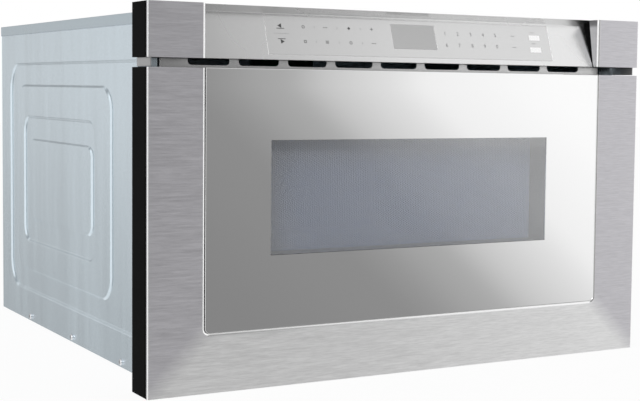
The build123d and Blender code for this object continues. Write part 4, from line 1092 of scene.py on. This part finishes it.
    def _punched_field(self, columns: int, rows: int) -> Piece:
        """A field of holes in upright columns, every other column half a pitch higher.

        Args:
            columns: Pairs of columns.
            rows: Holes in a column.

        Returns:
            The field, its first hole on the origin.
        """
        pitch = self.hole_pitch
        step = pitch * math.sqrt(3.0)
        clear_bench()
        flat = {"vertices": 6, "rotation": (math.pi / 2, math.pi / 6, 0)}
        bpy.ops.mesh.primitive_circle_add(radius=step / 3, **flat)
        field = settle(bpy.context.active_object, "window_screen_field")
        with editing(field, "EDGE"):
            bpy.ops.mesh.primitive_circle_add(radius=self.hole_radius, **flat)
            bpy.ops.mesh.select_all(action="SELECT")
            bpy.ops.mesh.bridge_edge_loops()
            bpy.ops.mesh.select_all(action="SELECT")
            bpy.ops.mesh.duplicate()
            bpy.ops.transform.translate(value=(step / 2, 0, pitch / 2))
        for count, shift in ((columns, (step, 0, 0)), (rows, (0, 0, pitch))):
            apply_modifier(
                field, "ARRAY", count=count, use_relative_offset=False, use_constant_offset=True,
                constant_offset_displace=shift,
            )
        with editing(field, "VERT"):
            bpy.ops.mesh.select_all(action="SELECT")
            bpy.ops.mesh.remove_doubles(threshold=0.05 * MM)
            bpy.ops.mesh.normals_make_consistent(inside=False)
        if field.data.polygons[0].normal.y > 0:
            field.data.flip_normals()
        apply_modifier(field, "SOLIDIFY", thickness=self.screen_sheet, offset=-1.0)
        return field

    def casing(self) -> None:
        """The black moulding round the door, with the seam along its edge."""
        shell = cast("door_casing", 0.0)
        low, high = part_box("door_casing")
        seam = Seam()
        for side, _ in SIDES:
            seam.cut_into(shell, side, (low.z - MM, high.z + MM))
        soften(shell, 0.3 * MM)
        present(shell, self.body, Finishes.BLACK, ("door_casing",))


@dataclass(frozen=True)
class Seam:
    """The narrow seam that runs up the black edges, just behind the steel."""

    depth: float = 6.4 * MM
    width: float = 0.9 * MM
    bite: float = 0.7 * MM

    def cut_into(self, shell: Piece, side: int, span: Pair) -> None:
        """Cut the seam into a black edge.

        Args:
            shell: The moulding.
            side: -1 for left, 1 for right.
            span: Lower and upper end.
        """
        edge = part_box("door_casing")[1].x
        x = (side * (edge - self.bite), side * (edge + self.bite))
        cut(shell, slab("seam", x, (self.depth, self.depth + self.width), span))


# ---------------------------------------------------------------- upper strip
@dataclass(frozen=True)
class UpperStrip:
    """The fixed strip above the drawer: end blocks, panel, touch glass and vent strip."""

    body: str = "case"
    sheet: float = 1.2 * MM
    steel_depth: float = 3.2 * MM
    roll: float = 3.0 * MM
    outer_roll: float = 1.2 * MM
    return_low: float = 8.0 * MM
    lip_depth: float = 14.0 * MM
    trim_wall: float = 2.2 * MM
    slot_pitch: float = 55.8 * MM
    slot_width: float = 45.3 * MM
    slot_height: float = 20.0 * MM
    slot_drop: float = 5.9 * MM
    slot_corner: float = 4.2 * MM
    slot_count: int = 9

    def build(self) -> None:
        """Build and dress every piece of the strip."""
        for side, word in SIDES:
            self.end_block(side, word)
            self.end_trim(side, word)
            recast(f"end_bracket_{word}", Finishes.BRACKET, 0.25 * MM)
        panel = recast("control_panel", Finishes.PANEL, 0.5 * MM, 3)
        # The lip faces under and in front take the lip finish with its painted shade
        finish_where(panel, Finishes.LIP, lambda _, normal: max(normal.y, normal.z) < -0.1)
        dress("control_housing", Finishes.BLACK)
        dress("control_board", Finishes.BOARD)
        self.vent_strip()
        Keypad().build()

    def end_block(self, side: int, word: str) -> None:
        """One steel end block: a rolled pan, its inner return, and its top lip.

        Args:
            side: -1 for left, 1 for right.
            word: The side in words.
        """
        low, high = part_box(f"end_block_{word}")
        front, back = low.y, low.y + self.steel_depth
        pan = block(f"end_block_{word}_pan", low, (high.x, back, high.z))
        middle_x = (low.x + high.x) / 2
        for way, width in ((side, self.outer_roll), (-side, self.roll)):
            roll_edges(
                pan, width, 4,
                lambda a, b: max(a.y, b.y) < front + HAIR and abs(a.x - b.x) < HAIR
                and (a.x - middle_x) * way > 0,
            )
        wall = self.sheet
        cut(pan, block(
            "pocket", (low.x + wall, front + wall, low.z + wall),
            (high.x - wall, back + wall, high.z - wall),
        ))
        inner = low.x if side > 0 else high.x
        leaf_x = sorted((inner, inner + side * wall))
        leaf = block("leaf", (leaf_x[0], back - wall, low.z), (leaf_x[1], high.y, high.z))
        with editing(leaf, "VERT"):
            pick_verts(leaf, lambda v: v.y > high.y - HAIR and v.z < low.z + HAIR)
            bpy.ops.transform.translate(value=(0, FRONT_Y + self.return_low - high.y, 0))
        lip_x = (
            (low.x, high.x - self.trim_wall) if side > 0 else (low.x + self.trim_wall, high.x)
        )
        lip = block(
            "lip", (lip_x[0], back - wall, high.z - wall),
            (lip_x[1], front + self.lip_depth, high.z),
        )
        weld(pan, leaf, lip)
        soften(pan, 0.2 * MM)
        present(pan, self.body, Finishes.FRONT, (f"end_block_{word}",))
        # The rolled edges take the polished steel with its painted highlight
        finish_where(pan, Finishes.EDGE, is_slanted)
        # Inward faces take the dark copy of the steel, painted shade
        finish_where(pan, Finishes.SHADED_RETURN, lambda _, normal: normal.x * side < -0.99)

    def end_trim(self, side: int, word: str) -> None:
        """One black housing behind an end block, with its seam.

        Args:
            side: -1 for left, 1 for right.
            word: The side in words.
        """
        shell = cast(f"end_trim_{word}", 0.0)
        low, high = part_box(f"end_trim_{word}")
        Seam().cut_into(shell, side, (low.z - MM, high.z + MM))
        soften(shell, 0.3 * MM)
        present(shell, self.body, Finishes.BLACK, (f"end_trim_{word}",))

    def vent_strip(self) -> None:
        """The slotted strip in the gap, its slots punched with rounded lower corners."""
        low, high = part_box("vent_strip")
        strip = block("vent_strip_sheet", low, high)
        upper_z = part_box("end_block_left")[0].z
        foot = upper_z - self.slot_drop
        first = -(self.slot_count - 1) / 2 * self.slot_pitch
        half = self.slot_width / 2
        punch = block(
            "punch", (first - half, low.y - 2 * MM, foot),
            (first + half, high.y + 2 * MM, foot + self.slot_height),
        )
        roll_edges(punch, self.slot_corner, 6, lambda a, b: abs(a.y - b.y) > 2 * MM)
        apply_modifier(
            punch, "ARRAY", count=self.slot_count, use_relative_offset=False,
            use_constant_offset=True, constant_offset_displace=(self.slot_pitch, 0, 0),
        )
        cut(strip, punch)
        soften(strip, 0.45 * MM, 3)
        present(strip, self.body, Finishes.STRIP, ("vent_strip",))


class Mark(Enum):
    """Plain generic key marks."""

    OUT = "out"
    IN = "in"
    RING = "ring"
    DOTS = "dots"
    BARS = "bars"
    DIAMOND = "diamond"
    SQUARE = "square"
    STAR = "star"
    DASH = "dash"


@dataclass(frozen=True)
class Keypad:
    """The touch glass with its display, number keys, plain key marks and two pale keys.

    Places across and up the slope are in millimetres, all other sizes in metres.
    """

    body: str = "case"
    ink: float = 0.06 * MM
    digit_share: float = 0.72
    slope_low: float = 8.0 * MM
    slope_high: float = 24.5 * MM
    slope_foot: float = 6.5 * MM
    display_x: float = 5.5 * MM
    display_size: Pair = (54.0 * MM, 27.4 * MM)
    display_low: float = 15.7 * MM
    digit_xs: tuple[float, ...] = (46.0, 62.5, 79.5, 96.0, 112.5)
    digit_rows: tuple[float, ...] = (34.4, 21.2)
    digit_height: float = 4.2 * MM
    mark_xs: tuple[float, ...] = (-127.0, -101.5, -73.5, -46.0)
    mark_rows: tuple[float, ...] = (36.6, 20.6)
    mark_height: float = 3.4 * MM
    slide_x: float = -153.5
    slide_rows: tuple[float, ...] = (37.0, 20.0)
    slide_height: float = 4.6 * MM
    tick_size: Pair = (0.4 * MM, 2.2 * MM)
    divider_size: Pair = (1.3 * MM, 0.4 * MM)
    divider_row: float = 28.6
    divider_xs: tuple[float, ...] = tuple(-161.0 + 2.2 * step for step in range(8))
    dash_height: float = 3.2 * MM
    dash_xs: Pair = (136.0, 164.0)
    dash_rise: float = 5.0
    key_size: Pair = (15.0 * MM, 6.0 * MM)
    key_places: tuple[Pair, ...] = ((166.0, 33.0), (165.0, 18.6))

    def build(self) -> None:
        """Build and dress the keypad."""
        middle = (self.display_x, self.display_low + self.display_size[1] / 2)
        lens = self._plate("display_lens", *middle, self.display_size, (-2.0 * MM, 0.02 * MM))
        opening = tuple(size + 0.15 * MM for size in self.display_size)
        cutter = self._plate("lens_cutter", *middle, opening, (-3 * MM, 2 * MM))
        glass = cut(cast("touch_glass", 0.0, name="touch_glass_sheet"), cutter)
        present(soften(glass, 0.2 * MM), self.body, Finishes.TOUCH, ("touch_glass",))
        present(soften(lens, 0.1 * MM), self.body, Finishes.DISPLAY, ("display_window",))
        self.digits()
        self.marks()
        self.pale_keys()

    def _onto_slope(self) -> Matrix:
        """The turn and place that lay something drawn in X and Y onto the panel's slope."""
        panel_low, panel_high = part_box("control_panel")
        foot_z = panel_low.z
        rise = panel_high.z - self.slope_foot - foot_z
        slope = math.atan2(self.slope_high - self.slope_low, rise)
        turn = Euler((math.pi / 2 - slope, 0, 0)).to_matrix().to_4x4()
        return Matrix.Translation((0, FRONT_Y + self.slope_low, foot_z)) @ turn

    def _plate(self, name: str, x: float, up: float, size: Sequence[float], rise: Pair) -> Piece:
        """A thin block on the slope.

        Args:
            name: Its name.
            x: Its middle across.
            up: Its middle up the slope.
            size: Its width and height.
            rise: Its underside and top above the slope.

        Returns:
            The piece.
        """
        half_w, half_h = size[0] / 2, size[1] / 2
        piece = block(
            name, (x - half_w, up - half_h, rise[0]), (x + half_w, up + half_h, rise[1])
        )
        piece.data.transform(self._onto_slope())
        return piece

    def _write(self, text: str, x: float, up: float, height: float) -> Piece:
        """A number printed on the touch glass, as a mesh."""
        clear_bench()
        bpy.ops.object.text_add()
        number = bpy.context.active_object
        number.data.body = text
        number.data.size = height / self.digit_share
        number.data.align_x = "CENTER"
        number.data.align_y = "CENTER"
        number.data.extrude = self.ink / 2
        number.data.resolution_u = 3
        bpy.ops.object.convert(target="MESH")
        number.data.transform(self._onto_slope() @ Matrix.Translation((x, up, self.ink / 2)))
        return settle(number, f"number_{text}")

    def digits(self) -> None:
        """The ten number keys, in two rows of five."""
        written = []
        for row, numbers in zip(self.digit_rows, ("12345", "67890")):
            for x, number in zip(self.digit_xs, numbers):
                written.append(self._write(number, x * MM, row * MM, self.digit_height))
        present(gather("number_keys", written), self.body, Finishes.PALE_PRINT)

    def _mark(self, mark: Mark, x: float, up: float, size: float) -> list[Piece]:
        """The pieces of one generic key mark.

        Args:
            mark: Which mark.
            x: Its middle across.
            up: Its middle up the slope.
            size: Its height.

        Returns:
            Its pieces.
        """
        rise = (0.0, self.ink)
        thin = size * 0.16
        if mark in (Mark.OUT, Mark.IN):
            way = 1 if mark is Mark.OUT else -1
            reach = size * 0.62
            bar = self._plate("bar", x, up - way * reach, (size * 1.9, thin), rise)
            return [bar, self._disc("arrow", x, up, reach, 3, math.pi / 2 * way)]
        if mark is Mark.RING:
            ring = self._disc("ring", x, up, size / 2, 20, 0.0)
            return [cut(ring, self._disc("hole", x, up, size / 2 - thin, 20, 0.0, 4 * self.ink))]
        if mark is Mark.DOTS:
            return [
                self._disc("dot", x + k * size * 0.55, up, thin, 10, 0.0) for k in (-1, 0, 1)
            ]
        if mark is Mark.BARS:
            return [
                self._plate("bar", x, up + k * size * 0.34, (size * 1.1, thin), rise)
                for k in (-1, 0, 1)
            ]
        if mark is Mark.DIAMOND:
            return [self._disc("diamond", x, up, size / 2, 4, 0.0)]
        if mark is Mark.SQUARE:
            side = size * 0.9
            outer = self._plate("square", x, up, (side,) * 2, rise)
            inner = self._plate("hole", x, up, (side - 2 * thin,) * 2, (-self.ink, 2 * self.ink))
            return [cut(outer, inner)]
        if mark is Mark.STAR:
            return [
                self._plate("bar", x, up, (size, thin), rise),
                self._plate("bar", x, up, (thin, size), (0.0, self.ink * 1.1)),
            ]
        return [self._plate("dash", x, up, (size * 1.6, thin), rise)]

    def _disc(self, name: str, x: float, up: float, radius: float, sides: int, turn: float,
              thickness: float = 0.0) -> Piece:
        """A thin disc or polygon on the slope, of as many sides as given."""
        clear_bench()
        bpy.ops.mesh.primitive_cylinder_add(
            vertices=sides, radius=radius, depth=thickness or self.ink,
            location=(x, up, self.ink / 2), rotation=(0, 0, turn),
        )
        piece = settle(bpy.context.active_object, name)
        piece.data.transform(self._onto_slope())
        return piece

    def marks(self) -> None:
        """Generic marks where the keys for programmes and for opening are."""
        dark: list[Piece] = []
        for mark, row in zip((Mark.OUT, Mark.IN), self.slide_rows):
            dark += self._mark(mark, self.slide_x * MM, row * MM, self.slide_height)
        rows = (
            (Mark.RING, Mark.DOTS, Mark.DIAMOND, Mark.STAR),
            (Mark.SQUARE, Mark.BARS, Mark.RING, Mark.DOTS),
        )
        ink = (0, self.ink)
        pale: list[Piece] = []
        for row, marks in zip(self.mark_rows, rows):
            for x, mark in zip(self.mark_xs, marks):
                dark += self._mark(mark, x * MM, row * MM, self.mark_height)
            for left, right in zip(self.mark_xs, self.mark_xs[1:]):
                x = (left + right) / 2
                pale.append(self._plate("tick", x * MM, row * MM, self.tick_size, ink))
        for x in self.divider_xs:
            up = self.divider_row * MM
            pale.append(self._plate("dash", x * MM, up, self.divider_size, ink))
        for row in self.digit_rows:
            for x, rise in zip(self.dash_xs, (0.0, self.dash_rise)):
                pale += self._mark(Mark.DASH, x * MM, (row + rise) * MM, self.dash_height)
        present(gather("key_marks", dark), self.body, Finishes.PRINT)
        present(gather("key_dividers", pale), self.body, Finishes.PALE_PRINT)

    def pale_keys(self) -> None:
        """The two rounded pale keys at the right."""
        keys = []
        for x, up in self.key_places:
            key = self._plate("key", x * MM, up * MM, self.key_size, (0.0, 0.25 * MM))
            keys.append(soften(key, 0.2 * MM))
        present(gather("pale_keys", keys), self.body, Finishes.KEY)


# ---------------------------------------------------------------- case
@dataclass(frozen=True)
class Screw:
    """A pan-head screw with a cross recess."""

    radius: float = 3.6 * MM
    height: float = 2.5 * MM
    dome: float = 1.3 * MM
    cross: Pair = (3.6 * MM, 0.8 * MM)
    cross_depth: float = 1.1 * MM
    shank_radius: float = 1.9 * MM
    shank_length: float = 5.8 * MM

    def build(self) -> Piece:
        """The screw, pointing down Z, its head standing on the origin."""
        height, length = self.height, self.shank_length
        head = rod("screw", (0, 0, height / 2), self.radius, height, "Z", 28)
        roll_edges(head, self.dome, 5, lambda a, b: min(a.z, b.z) > height * 0.9)
        arm, width = (size / 2 for size in self.cross)
        for half_x, half_y in ((width, arm), (arm, width)):
            cut(head, block(
                "recess", (-half_x, -half_y, height - self.cross_depth),
                (half_x, half_y, height + 0.5 * MM),
            ))
        shank = rod("shank", (0, 0, -length / 2), self.shank_radius, length, "Z", 16)
        return soften(gather("screw", [head, shank]), 0.0)


@dataclass(frozen=True)
class Ring:
    """One pressed outline of a case side.

    Args:
        depth: Front and back end.
        z: Lower and upper end.
        radius: Corner radius.
        open_front: Whether it runs out to the front with square corners.
    """

    depth: Pair
    z: Pair
    radius: float
    open_front: bool = False

    def grown(self, by: float) -> Ring:
        """The same outline, larger by an amount all round."""
        return Ring(
            (self.depth[0] - by, self.depth[1] + by), (self.z[0] - by, self.z[1] + by),
            self.radius + by, self.open_front,
        )


@dataclass(frozen=True)
class CaseShell:
    """The zinc-coated case: pressed sides, cover, base, rear, screws and feet."""

    body: str = "case"
    skin: float = 1.0 * MM
    emboss: float = 2.0 * MM
    ramp: float = 2.6 * MM
    ramp_roll: float = 0.5 * MM
    arc: int = 8
    sheet: float = 1.2 * MM
    flange: float = 20.0 * MM
    hem: float = 3.1 * MM
    hem_width: float = 6.5 * MM
    lip: float = 12.0 * MM
    lip_foot: float = 13.2 * MM
    front: float = 39.2 * MM
    square: float = 0.6 * MM
    flange_holes: Pair = (95.0 * MM, 275.0 * MM)
    hole_radius: float = 2.4 * MM
    screw_height: float = 11.2 * MM
    # Depth of the first side screw and height of the first rear one, each with its pitch
    side_screws: Pair = (140.0 * MM, 164.3 * MM)
    rear_screws: Pair = (60.0 * MM, 130.0 * MM)
    rings: tuple[Ring, ...] = (
        Ring((43.5 * MM, 558.0 * MM), (44.0 * MM, 329.0 * MM), 34.0 * MM, True),
        Ring((175.5 * MM, 525.0 * MM), (70.0 * MM, 302.0 * MM), 27.0 * MM),
        Ring((226.5 * MM, 497.0 * MM), (107.0 * MM, 263.0 * MM), 20.0 * MM),
        Ring((238.5 * MM, 470.0 * MM), (135.0 * MM, 235.0 * MM), 13.0 * MM),
    )

    def build(self) -> None:
        """Build and dress every piece of the case."""
        for side, word in SIDES:
            self.side_panel(side, word)
        recast("case_top_cover", Finishes.COVER, 0.9 * MM, 3)
        recast("base_plate", Finishes.ZINC, 0.2 * MM)
        dress("rear_panel", Finishes.ZINC)
        recast("front_frame", Finishes.ZINC, 0.3 * MM)
        recast("base_feet", Finishes.RUBBER, 0.8 * MM, 3)
        recast("power_inlet", Finishes.BLACK, 0.5 * MM, 3)
        self.screws()

    def _outline(self, ring: Ring, x: float, filled: bool = False) -> Piece:
        """The outline of a ring as a closed loop of edges.

        Args:
            ring: The ring.
            x: Where it lies across the object.
            filled: Whether a face stays in the loop.

        Returns:
            The loop, with as many points as every other.
        """
        loop = slab("loop", (x, x + MM), ring.depth, ring.z)
        with editing(loop, "FACE"):
            pick_faces(loop, lambda _, normal: normal.x > -0.9)
            bpy.ops.mesh.delete(type="ONLY_FACE")
        with editing(loop, "VERT"):
            pick_verts(loop, lambda v: v.x > x + 0.5 * MM)
            bpy.ops.mesh.delete(type="VERT")
        middle = FRONT_Y + sum(ring.depth) / 2
        front_radius = self.square if ring.open_front else ring.radius
        for front, radius in ((True, front_radius), (False, ring.radius)):
            with editing(loop, "VERT"):
                pick_verts(loop, self._corner_test(ring, front, middle))
                bpy.ops.mesh.bevel(offset=radius, segments=self.arc, affect="VERTICES")
        if not filled:
            with editing(loop, "FACE"):
                bpy.ops.mesh.select_all(action="SELECT")
                bpy.ops.mesh.delete(type="ONLY_FACE")
        return loop

    @staticmethod
    def _corner_test(ring: Ring, front: bool, middle: float) -> Callable[[Vector], bool]:
        """A test for the two square corners at one end of a ring's outline."""

        def test(point: Vector) -> bool:
            """Whether a point is one of those corners."""
            y = FRONT_Y + ring.depth[0 if front else 1]
            at_end = abs(point.y - y) < HAIR and (point.y < middle) == front
            return at_end and min(abs(point.z - z) for z in ring.z) < HAIR

        return test

    def side_panel(self, side: int, word: str) -> None:
        """One case side: a sheet with two pressed bands, and its mounting flange.

        Args:
            side: -1 for left, 1 for right.
            word: The side in words.
        """
        low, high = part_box(f"case_side_{word}")
        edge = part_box("base_plate")[1].x + self.skin
        proud, sunk = -edge, -edge + self.emboss
        half = self.ramp / 2
        outer = Ring((low.y - FRONT_Y, high.y - FRONT_Y), (low.z, high.z), 0.4 * MM)
        steps = [(outer, proud)]
        for number, ring in enumerate(self.rings):
            levels = (proud, sunk) if number % 2 == 0 else (sunk, proud)
            steps.append((ring.grown(half), levels[0]))
            steps.append((ring.grown(-half), levels[1]))
        strips = [self._outline(*steps[-1], filled=True)]
        for outside, inside in zip(steps, steps[1:]):
            strip = gather("strip", [self._outline(*outside), self._outline(*inside)])
            with editing(strip, "EDGE"):
                bpy.ops.mesh.select_all(action="SELECT")
                bpy.ops.mesh.bridge_edge_loops()
            strips.append(strip)
        sheet = gather(f"case_side_{word}_sheet", strips)
        with editing(sheet, "VERT"):
            bpy.ops.mesh.select_all(action="SELECT")
            bpy.ops.mesh.remove_doubles(threshold=0.01 * MM)
            bpy.ops.mesh.normals_make_consistent(inside=False)
        widest = max(sheet.data.polygons, key=lambda f: f.area)
        if widest.normal.x > 0:
            sheet.data.flip_normals()
        apply_modifier(sheet, "BEVEL", width=self.ramp_roll, segments=3, limit_method="ANGLE",
                       angle_limit=math.radians(12), use_clamp_overlap=True)
        apply_modifier(sheet, "SOLIDIFY", thickness=self.skin, offset=-1.0)
        parts = [sheet, *self._folds(low, high, edge)]
        if side > 0:
            for part in parts:
                part.data.transform(Matrix.Scale(-1.0, 4, (1, 0, 0)))
                part.data.flip_normals()
        soften(sheet, 0.0, angle=60.0)
        panel = gather(f"case_side_{word}_sheet", parts)
        present(panel, self.body, Finishes.ZINC, (f"case_side_{word}",))

    def _folds(self, low: Vector, high: Vector, edge: float) -> list[Piece]:
        """The mounting flange with its folded edge, and the rear lip, for the left side.

        Args:
            low: Lowest corner of the case side.
            high: Highest corner.
            edge: Distance of the case side from the middle.

        Returns:
            The folded strips.
        """
        z = (low.z, high.z)
        out = edge + self.flange
        front, hem = self.front, self.front + self.hem
        flange = slab("flange", (-out, -edge + self.skin), (front, front + self.sheet), z)
        weld(
            flange,
            slab("fold", (-out, -out + self.sheet), (front, hem), z),
            slab("hem", (-out, -out + self.hem_width), (hem - self.sheet, hem), z),
        )
        for hole_z in self.flange_holes:
            centre = (-(edge + self.flange / 2), FRONT_Y + front, hole_z)
            cut(flange, rod("hole", centre, self.hole_radius, 5 * MM, "Y"))
        back = high.y - FRONT_Y - self.sheet
        inner = -edge + self.skin
        lip_z = (low.z + self.lip_foot, high.z)
        lip = slab("lip", (inner, inner + self.lip), (back - self.sheet, back), lip_z)
        return [soften(fold, 0.3 * MM) for fold in (flange, lip)]

    def screws(self) -> None:
        """The case screws: one, copied to every place."""
        _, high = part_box("case_screws")
        side_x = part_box("base_plate")[1].x + self.skin
        rear = Matrix.Rotation(-math.pi / 2, 4, "X")
        places: list[tuple[Vector, Matrix]] = []
        for side, _ in SIDES:
            face = Matrix.Rotation(side * math.pi / 2, 4, "Y")
            for index in range(3):
                y = FRONT_Y + self.side_screws[0] + index * self.side_screws[1]
                places.append((Vector((side * side_x, y, self.screw_height)), face))
            for index in range(3):
                x = side * (side_x - self.lip * 0.8)
                z = self.rear_screws[0] + index * self.rear_screws[1]
                places.append((Vector((x, high.y - 2.5 * MM, z)), rear))
        head = Screw().build()
        for number, (place, turn) in enumerate(places, start=1):
            screw = twin(head, f"case_screw_{number}", Vector())
            screw.data.transform(Matrix.Translation(place) @ turn)
            present(screw, self.body, Finishes.SCREW, ("case_screws",))
        bpy.data.objects.remove(head)


# ---------------------------------------------------------------- what the case holds
@dataclass(frozen=True)
class Oven:
    """The cavity, the choke round its mouth, the drawer bin and the tray in it."""

    def build(self) -> None:
        """Dress every piece of the oven."""
        recast("oven_cavity", Finishes.ENAMEL, 0.5 * MM)
        recast("choke_frame", Finishes.ENAMEL, 0.3 * MM)
        recast("drawer_bin", Finishes.ENAMEL, 0.5 * MM)
        recast("glass_tray", Finishes.CERAMIC, 1.4 * MM, 4)
        recast("antenna_cover", Finishes.MICA, 0.3 * MM)
        dress("antenna", Finishes.ALLOY)
        dress("oven_lamp", Finishes.NYLON)
        dress("thermal_cutout", Finishes.NYLON)


@dataclass(frozen=True)
class Runners:
    """The telescopic rails, the arms, the latch tongues and the drive."""

    edge: float = 0.25 * MM

    def build(self) -> None:
        """Dress every piece that carries or drives the drawer."""
        for _, word in SIDES:
            for member in ("outer", "middle", "inner"):
                recast(f"rail_{member}_{word}", Finishes.RAIL, self.edge)
        for node, finish in (
            ("rail_brackets", Finishes.ZINC), ("door_arms", Finishes.ZINC),
            ("latch_tongues", Finishes.RAIL), ("drive_bracket", Finishes.ZINC),
            ("drive_motor", Finishes.CAN),
        ):
            recast(node, finish, self.edge)
        for node in ("drive_rack", "pinion_shaft", "motor_gear"):
            dress(node, Finishes.NYLON)
        dress("interlock_switches", Finishes.BLACK)


@dataclass(frozen=True)
class Supply:
    """The microwave supply and its cooling, behind and under the cavity."""

    def build(self) -> None:
        """Dress every piece of the supply."""
        for node, finish in (
            ("waveguide", Finishes.ZINC), ("magnetron", Finishes.ALLOY),
            ("power_transformer", Finishes.IRON), ("high_voltage_capacitor", Finishes.CAN),
            ("line_filter_board", Finishes.BOARD), ("fan_housing", Finishes.BLACK),
            ("fan_motor", Finishes.CAN), ("fan_blade", Finishes.BLACK),
            ("air_duct", Finishes.BLACK), ("antenna_motor", Finishes.CAN),
        ):
            dress(node, finish)


def main() -> None:
    """Build the studio, then every sub-assembly in order."""
    logging.basicConfig(level=logging.INFO, format="%(message)s")
    PhotoCamera().build()
    Studio().build()
    for assembly in (DrawerFront(), UpperStrip(), CaseShell(), Oven(), Runners(), Supply()):
        log.info("building %s", type(assembly).__name__)
        assembly.build()
    boxes = {"cad": CAD_BOX, "visual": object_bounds()}
    boxes = {name: [list(corner) for corner in box] for name, box in boxes.items()}


if __name__ == "__main__":
    main()
